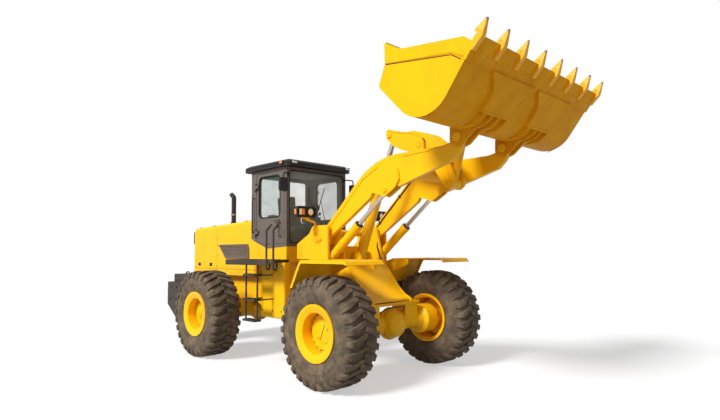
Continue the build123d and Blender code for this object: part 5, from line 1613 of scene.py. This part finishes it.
@dataclass
class LiftArms:
    """Pin caps, grease lines, pipes and weld beads of the boom, crank and cylinders."""

    shop: Workshop
    # Pins and the cross tube as (x, z).
    bucket_pin: Pair = (3365.0, 3195.0)
    lift_eye: Pair = (2150.0, 2660.0)
    tube: Pair = (2400.0, 2916.0)
    crank_pivot: Pair = (2418.0, 3316.0)
    tilt_eye: Pair = (1830.0, 3530.0)
    link_low: Pair = (2880.0, 2720.0)
    lift_base: Pair = (820.0, 1580.0)
    tilt_base: Pair = (1080.0, 1730.0)
    arm_y: float = 525.0
    arm_half: float = 38.0
    tube_r: float = 112.0
    crank_y: float = 124.0

    @staticmethod
    def keeper(shape: Shape, spots: list[Spot], centre: Pair, y: float, radius: float,
               bolts: int) -> None:
        """Add a pin's end cap and its bolts.

        Args:
            shape: Receives the cap.
            spots: Receives the bolts.
            centre: The pin's place.
            y: Face that the cap sits on.
            radius: Of the cap.
            bolts: How many bolts hold it.
        """
        place = facing((centre[0], y, centre[1]), (0, 1, 0))
        shape.lathe([(0, -1), (radius, -1), (radius, 6), (radius - 5, 10), (0, 10)], place, 36)
        spots += circle_spots((centre[0], y + 10, centre[1]), (0, 1, 0), radius * 0.62, bolts, 0.4)

    def round_tube(self, y: float, angles: Iterable[float]) -> list[Point]:
        """Return points on the boom's cross tube at these angles."""
        x, z = self.tube
        return [(x + self.tube_r * math.cos(a), y, z + self.tube_r * math.sin(a)) for a in angles]

    def beads(self) -> None:
        """Lay weld beads round the boom's tube, along its arms and over the crank's lugs."""
        lines = []
        full = [math.tau * k / 24 for k in range(25)]
        over = [math.pi * (0.18 + 0.64 * k / 10) for k in range(11)]
        for s, _ in HANDS:
            lines.append(self.round_tube(s * (self.arm_y - self.arm_half - 20), full))
            for y in (s * (self.arm_y + self.arm_half + 1), s * (self.arm_y - self.arm_half - 1)):
                lines.append([(1965, y, 2931), (2180, y, 2932), (2386, y, 2931)])
            for y in (s * 139, s * 176):
                lines.append(self.round_tube(y, over))
        self.shop.pipe("boom_welds", "boom", lines, 5, 4, Coat.BODY, sides=6)

    def build(self) -> None:
        """Build every piece on the arms."""
        caps, spots = Shape(), []
        inner, outer = self.arm_y - self.arm_half, self.arm_y + self.arm_half
        self.keeper(caps, spots, self.lift_eye, outer + 37, 40, 3)
        self.keeper(caps, spots, self.bucket_pin, outer + 3.5, 60, 4)
        caps.mirror()
        side_spots = both_sides(spots)
        caps.finish("boom_pin_caps", "boom", Coat.BODY)
        x, z = self.crank_pivot
        for side, _ in HANDS:
            side_spots += circle_spots((x, side * 183, z), (0, side, 0), 30, 3)
        self.shop.bolt("boom_bolts", "boom", side_spots, 10, 8, Coat.BODY)
        self.beads()
        pipes = [[(930, y, 2165), (1500, y, 2690), (1905, y, 3060), (2350, y, 3075)]
                 for y in (inner - 12, 12 - inner)]
        self.shop.pipe("boom_pipes", "boom", pipes, 9, 160, Coat.GRIP)
        clamps = Shape()
        for x, z in ((1060, 2286), (1500, 2690), (1905, 3056), (2250, 3072)):
            clamps.block((x - 22, x + 22), (inner - 25, inner + 0.5), (z - 17, z + 17), 4)
        clamps.mirror()
        clamps.finish("boom_pipe_clamps", "boom", Coat.CHASSIS)
        grease = []
        for y in (outer + 5, -outer - 5):
            grease.append([(2460, y, 3080), (2900, y, 3095), (3180, y, 3120), (3300, y, 3180)])
            grease.append([(900, y, 2120), (1250, y, 2420), (1700, y, 2840), (2010, y, 2990)])
        self.shop.pipe("boom_grease_lines", "boom", grease, 4, 60, Coat.BODY, sides=8)
        self.crank()
        self.cylinders()

    def crank(self) -> None:
        """Build the bell crank's caps, bolts and grease lines."""
        caps, spots = Shape(), []
        self.keeper(caps, spots, self.tilt_eye, 128, 38, 3)
        self.keeper(caps, spots, self.link_low, 130, 34, 3)
        caps.mirror()
        caps.finish("crank_pin_caps", "bell_crank", Coat.BODY)
        self.shop.bolt("crank_bolts", "bell_crank", both_sides(spots), 9, 7, Coat.BODY)
        hands = (self.crank_y, -self.crank_y)
        lines = [[(1800, y, 3600), (2000, y, 3545), (2250, y, 3500), (2400, y, 3430)]
                 for y in hands]
        lines += [[(2560, y, 3400), (2700, y, 3260), (2830, y, 3040), (2890, y, 2800)]
                  for y in hands]
        self.shop.pipe("crank_grease_lines", "bell_crank", lines, 4, 60, Coat.BODY, sides=8)
        x, z = self.crank_pivot
        ring = Shape().lathe([(58, -3), (93, -3), (93, 2), (58, 2)],
                             facing((x, self.crank_y + 10, z), (0, 1, 0)), 40, True)
        ring.mirror().finish("crank_hub_seals", "bell_crank", Coat.SEAL)

    def cylinders(self) -> None:
        """Dress the barrels of the tilt and lift cylinders."""
        self.cylinder("tilt_barrel", self.tilt_base, self.tilt_eye, 0.0, 1150.0, 80.0, 42.0)
        self.tilt_pipe(1150.0, 80.0)
        for side, name in HANDS:
            self.cylinder("lift_barrel_" + name, self.lift_base, self.lift_eye, side * self.arm_y,
                          987.0, 72.0, 32.0)

    def cylinder(self, name: str, base: Pair, eye: Pair, y: float, length: float, radius: float,
                 rod: float) -> None:
        """Put a wiper ring and gland bolts on one cylinder's barrel.

        Args:
            name: The barrel's body, and the start of the pieces' names.
            base: Base pin, (x, z).
            eye: Rod eye, (x, z).
            y: Its centre plane.
            length: Base pin to gland face.
            radius: Of the barrel's head.
            rod: Rod radius.
        """
        run = Vector((eye[0] - base[0], 0, eye[1] - base[1])).normalized()
        spot = tuple(Vector((base[0], y, base[1])) + run * length)
        ring = Shape().lathe([(rod + 1, -2), (radius - 14, -2), (radius - 14, 8), (rod + 10, 14),
                              (rod + 1, 14)], facing(spot, tuple(run)), 40, True)
        ring.finish(name + "_wiper_ring", name, Coat.DARK)
        spots = circle_spots(spot, tuple(run), radius - 9, 8, 0.2)
        self.shop.bolt(name + "_gland_bolts", name, spots, 8, 7, Coat.ZINC)

    def tilt_pipe(self, length: float, radius: float) -> None:
        """Run the hydraulic pipe along the top of the tilt cylinder's barrel.

        Args:
            length: Base pin to gland face.
            radius: Of the barrel's head.
        """
        base, eye = self.tilt_base, self.tilt_eye
        run = Vector((eye[0] - base[0], 0, eye[1] - base[1])).normalized()
        up = Vector((0, 1, 0)).cross(run)
        if up.z < 0:
            up = -up
        start = Vector((base[0], 0, base[1])) + run * 150
        end = Vector((base[0], 0, base[1])) + run * (length - 45)
        line = [start + up * (radius - 6), start + up * (radius + 22), end + up * (radius + 22),
                end + up * (radius - 3)]
        self.shop.pipe("tilt_barrel_pipe", "tilt_barrel", [[tuple(p) for p in line]], 9, 24,
                       Coat.GRIP)


@dataclass
class BucketDress:
    """Edge segments, bolts, pins and weld beads, laid out in the bucket's own frame."""

    shop: Workshop
    origin: Pair = (4085.0, 3750.0)
    turn: float = 53.13
    half_y: float = 1483.0
    reach_y: float = 1484.4
    tooth_count: int = 8
    tooth_pitch: float = 415.0
    pin_half: float = 34.5
    boss_y: Pair = (613.5, 437.0)   # outer and inner faces of a hinge's bosses

    @property
    def place(self) -> Matrix:
        """Place of the bucket's own frame: s forward, t up."""
        return Matrix.Translation(Vector((self.origin[0], 0, self.origin[1]))) @ Matrix.Rotation(
            -math.radians(self.turn), 4, "Y")

    def point(self, s: float, y: float, t: float) -> Point:
        """Turn a point in the bucket's frame into the machine's."""
        p = self.place @ Vector((s, y, t))
        return (p.x, p.y, p.z)

    def way(self, s: float, y: float, t: float) -> Point:
        """Turn a direction in the bucket's frame into the machine's."""
        p = self.place.to_3x3() @ Vector((s, y, t))
        return (p.x, p.y, p.z)

    def build(self) -> None:
        """Build every piece on the bucket."""
        down, up = self.way(0, 0, -1), self.way(0, 0, 1)
        pads = Shape()
        middles = [(k - (self.tooth_count - 1) / 2) * self.tooth_pitch
                   for k in range(self.tooth_count)]
        # The end teeth have no bolts, because the cheeks stand over them.
        spots = [(self.point(s, y, 25.5), up) for y in middles[1:-1] for s in (45, 120)]
        for k in range(self.tooth_count - 1):
            y = (middles[k] + middles[k + 1]) / 2
            pads.block((20, 262), (y - 150, y + 150), (-20, -14.6), 2.5, self.place)
            spots += [(self.point(110, y + dy, -20), down) for dy in (-70, 70)]
        pads.finish("edge_segments", "bucket", Coat.WORKED)
        self.shop.bolt("edge_bolts", "bucket", spots, 12, 8, Coat.WORKED)
        pins = Shape()
        for y in middles:
            low = max(y - self.pin_half, -self.reach_y)
            high = min(y + self.pin_half, self.reach_y)
            pins.block((292, 316), (low, high), (-8, 16), 4, self.place)
        pins.finish("tooth_pins", "bucket", Coat.WORKED)
        keepers, pin_spots = Shape(), []
        for y, out in zip(self.boss_y, (1, -1)):
            centre = self.point(-876, y, 243)
            keepers.lathe([(0, -1), (58, -1), (58, 6), (52, 10), (0, 10)],
                          facing(centre, (0, out, 0)), 36)
            pin_spots += circle_spots((centre[0], y + out * 10, centre[2]), (0, out, 0), 36, 4)
        keepers.mirror()
        keepers.finish("bucket_pin_caps", "bucket", Coat.BODY)
        self.shop.bolt("bucket_pin_bolts", "bucket", both_sides(pin_spots), 10, 8, Coat.BODY)
        self.welds()
        # painted shade: a thin dark strip on each cheek, standing for the shade in its crease
        crease_shade_strips = Shape()
        for side, _ in HANDS:
            y0, y1 = sorted((side * (self.half_y - 7.6), side * (self.half_y - 6.2)))
            crease_shade_strips.prism([(-20, 40), (-28, 186), (-474, 1000), (-482, 996), (-38, 184), (-30, 40)],
                         y0, y1, "y", self.place)
        crease_shade_strips.finish("cheek_crease", "bucket", Coat.SEAL)

    def welds(self) -> None:
        """Lay weld beads along the hinge plates, inside the cheeks and along their edges."""
        plate = ((-432, -58), (-500, -48), (-600, -2), (-700, 106))
        floor = ((0, 27), (-470, 27), (-560, 38), (-640, 67), (-745, 143))
        rim = ((4, 30), (-16, 194), (-210, 540), (-462, 996))
        runs = [(side * y + dy, plate) for side, _ in HANDS for y in (270, 460, 590, 760)
                for dy in (-14, 14)]
        for side, _ in HANDS:
            runs += [(side * (self.half_y - 37.5), floor), (side * (self.half_y - 6), rim)]
        lines = [[self.point(s, y, t) for s, t in path] for y, path in runs]
        self.shop.pipe("bucket_welds", "bucket", lines, 4.5, 40, Coat.WORKED, sides=6)


@dataclass
class Studio:
    """Floor, lights, world and camera."""

    eye: Point = (6.613, -5.876, 1.825)
    yaw: float = 2.361
    pitch: float = 0.077
    roll: float = -0.007
    focal: float = 26.32         # in millimetres, on a sensor 36 mm wide
    sun_angle: float = 16.0
    sun_way: Point = (0.0, 0.86, -0.76)
    sun_level: float = 4.15
    fill_way: Point = (-0.62, 0.76, -0.16)
    fill_level: float = 0.40
    fill_angle: float = 50.0
    sky_level: float = 0.27
    floor_share: float = 0.5
    floor_half: float = 120.0
    floor_z: float = -0.001

    def camera(self) -> None:
        """Place the camera at the reference viewpoint."""
        data = bpy.data.cameras.new("camera")
        data.lens = self.focal
        data.sensor_width = 36.0
        cam = bpy.data.objects.new("camera", data)
        bpy.context.scene.collection.objects.link(cam)
        cp = math.cos(self.pitch)
        forward = Vector((math.cos(self.yaw) * cp, math.sin(self.yaw) * cp, math.sin(self.pitch)))
        right = Vector((math.sin(self.yaw), -math.cos(self.yaw), 0.0))
        up = right.cross(forward)
        right, up = (
            right * math.cos(self.roll) + up * math.sin(self.roll),
            up * math.cos(self.roll) - right * math.sin(self.roll),
        )
        turn = Matrix((right, up, -forward)).transposed()
        cam.matrix_world = Matrix.Translation(Vector(self.eye)) @ turn.to_4x4()
        bpy.context.scene.camera = cam

    @staticmethod
    def seen_ray(tree: bpy.types.NodeTree) -> bpy.types.NodeSocket:
        """Return a socket that is one for camera, mirror and glass rays.

        Args:
            tree: The node tree.

        Returns:
            The socket.
        """
        rays = add(tree, "ShaderNodeLightPath")
        both = add(tree, "ShaderNodeMath", {},
                   {0: rays.outputs["Is Camera Ray"], 1: rays.outputs["Is Glossy Ray"]},
                   operation="MAXIMUM")
        every = add(tree, "ShaderNodeMath", {},
                    {0: both.outputs[0], 1: rays.outputs["Is Transmission Ray"]},
                    operation="MAXIMUM")
        return every.outputs[0]

    def plain_to_camera(self, tree: bpy.types.NodeTree, lit: bpy.types.NodeSocket,
                        share: float = 1.0) -> bpy.types.NodeSocket:
        """Show plain white to camera, mirror and glass rays, and the lit surface to the rest.

        Args:
            tree: The node tree.
            lit: The shader that lights or shadows the object.
            share: How much of the plain white those rays see, the rest being the lit surface.

        Returns:
            The mixed shader's output.
        """
        part = add(tree, "ShaderNodeMath", {1: share}, {0: self.seen_ray(tree)},
                   operation="MULTIPLY")
        kind = "ShaderNodeBackground" if tree.nodes.get("Background") else "ShaderNodeEmission"
        white = add(tree, kind, {"Color": linear("FFFFFF"), "Strength": 1.0})
        mix = add(tree, "ShaderNodeMixShader",
                  links={0: part.outputs[0], 1: lit, 2: white.outputs[0]})
        return mix.outputs[0]

    def light(self) -> None:
        """Set up the pale world, the soft key light and a weak fill from the front."""
        world = bpy.data.worlds.new("studio_world")
        world.use_nodes = True
        bpy.context.scene.world = world
        tree = world.node_tree
        sky = tree.nodes["Background"]
        drive(tree, sky, {"Color": linear("FFFFFF"), "Strength": self.sky_level})
        shown = self.plain_to_camera(tree, sky.outputs[0])
        drive(tree, tree.nodes["World Output"], links={"Surface": shown})
        for name, way, level, angle in (
                ("key_light", self.sun_way, self.sun_level, self.sun_angle),
                ("fill_light", self.fill_way, self.fill_level, self.fill_angle)):
            data = bpy.data.lights.new(name, "SUN")
            data.energy = level
            data.angle = math.radians(angle)
            lamp = bpy.data.objects.new(name, data)
            bpy.context.scene.collection.objects.link(lamp)
            lamp.rotation_mode = "QUATERNION"
            lamp.rotation_quaternion = Vector(way).to_track_quat("-Z", "Y")

    def floor(self) -> None:
        """Lay a wide pale floor."""
        mesh = bpy.data.meshes.new("studio_floor")
        corners = [(x * self.floor_half, y * self.floor_half, self.floor_z)
                   for x, y in ((-1, -1), (1, -1), (1, 1), (-1, 1))]
        mesh.from_pydata(corners, [], [(0, 1, 2, 3)])
        mat = bpy.data.materials.new("matt_studio_floor")
        mat.use_nodes = True
        tree = mat.node_tree
        shader = tree.nodes["Principled BSDF"]
        tone = add(tree, "ShaderNodeMix", {6: linear("B0B0B0"), 7: linear("F7F7F7")},
                   {0: self.seen_ray(tree)}, data_type="RGBA")
        drive(tree, shader, {"Roughness": 0.95, "Specular IOR Level": 0.1},
              {"Base Color": tone.outputs[2]})
        shown = self.plain_to_camera(tree, shader.outputs[0], self.floor_share)
        drive(tree, tree.nodes["Material Output"], links={"Surface": shown})
        mesh.materials.append(mat)
        plane = bpy.data.objects.new("studio_floor", mesh)
        bpy.context.scene.collection.objects.link(plane)

    def build(self) -> None:
        """Set up the whole studio."""
        self.camera()
        self.light()
        self.floor()
        bpy.context.scene.view_settings.view_transform = "Standard"


def main() -> None:
    """Build the whole scene, piece by piece."""
    logging.basicConfig(level=logging.INFO, format="%(message)s")
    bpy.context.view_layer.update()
    Studio().build()
    shop = Workshop()
    PaintShop().dress()
    LOG.info("finishes: every packed solid has its own")
    for part in (Wheels, Axles, HoodAndRear, Cab, DeckAndSteps, FrontHalf, LiftArms, BucketDress):
        before = set(bpy.data.objects)
        part(shop).build()
        for piece in sorted(set(bpy.data.objects) - before, key=lambda o: o.name):
            LOG.info("%s: %s, %d faces", part.__name__, piece.name, len(piece.data.polygons))


if __name__ == "__main__":
    main()
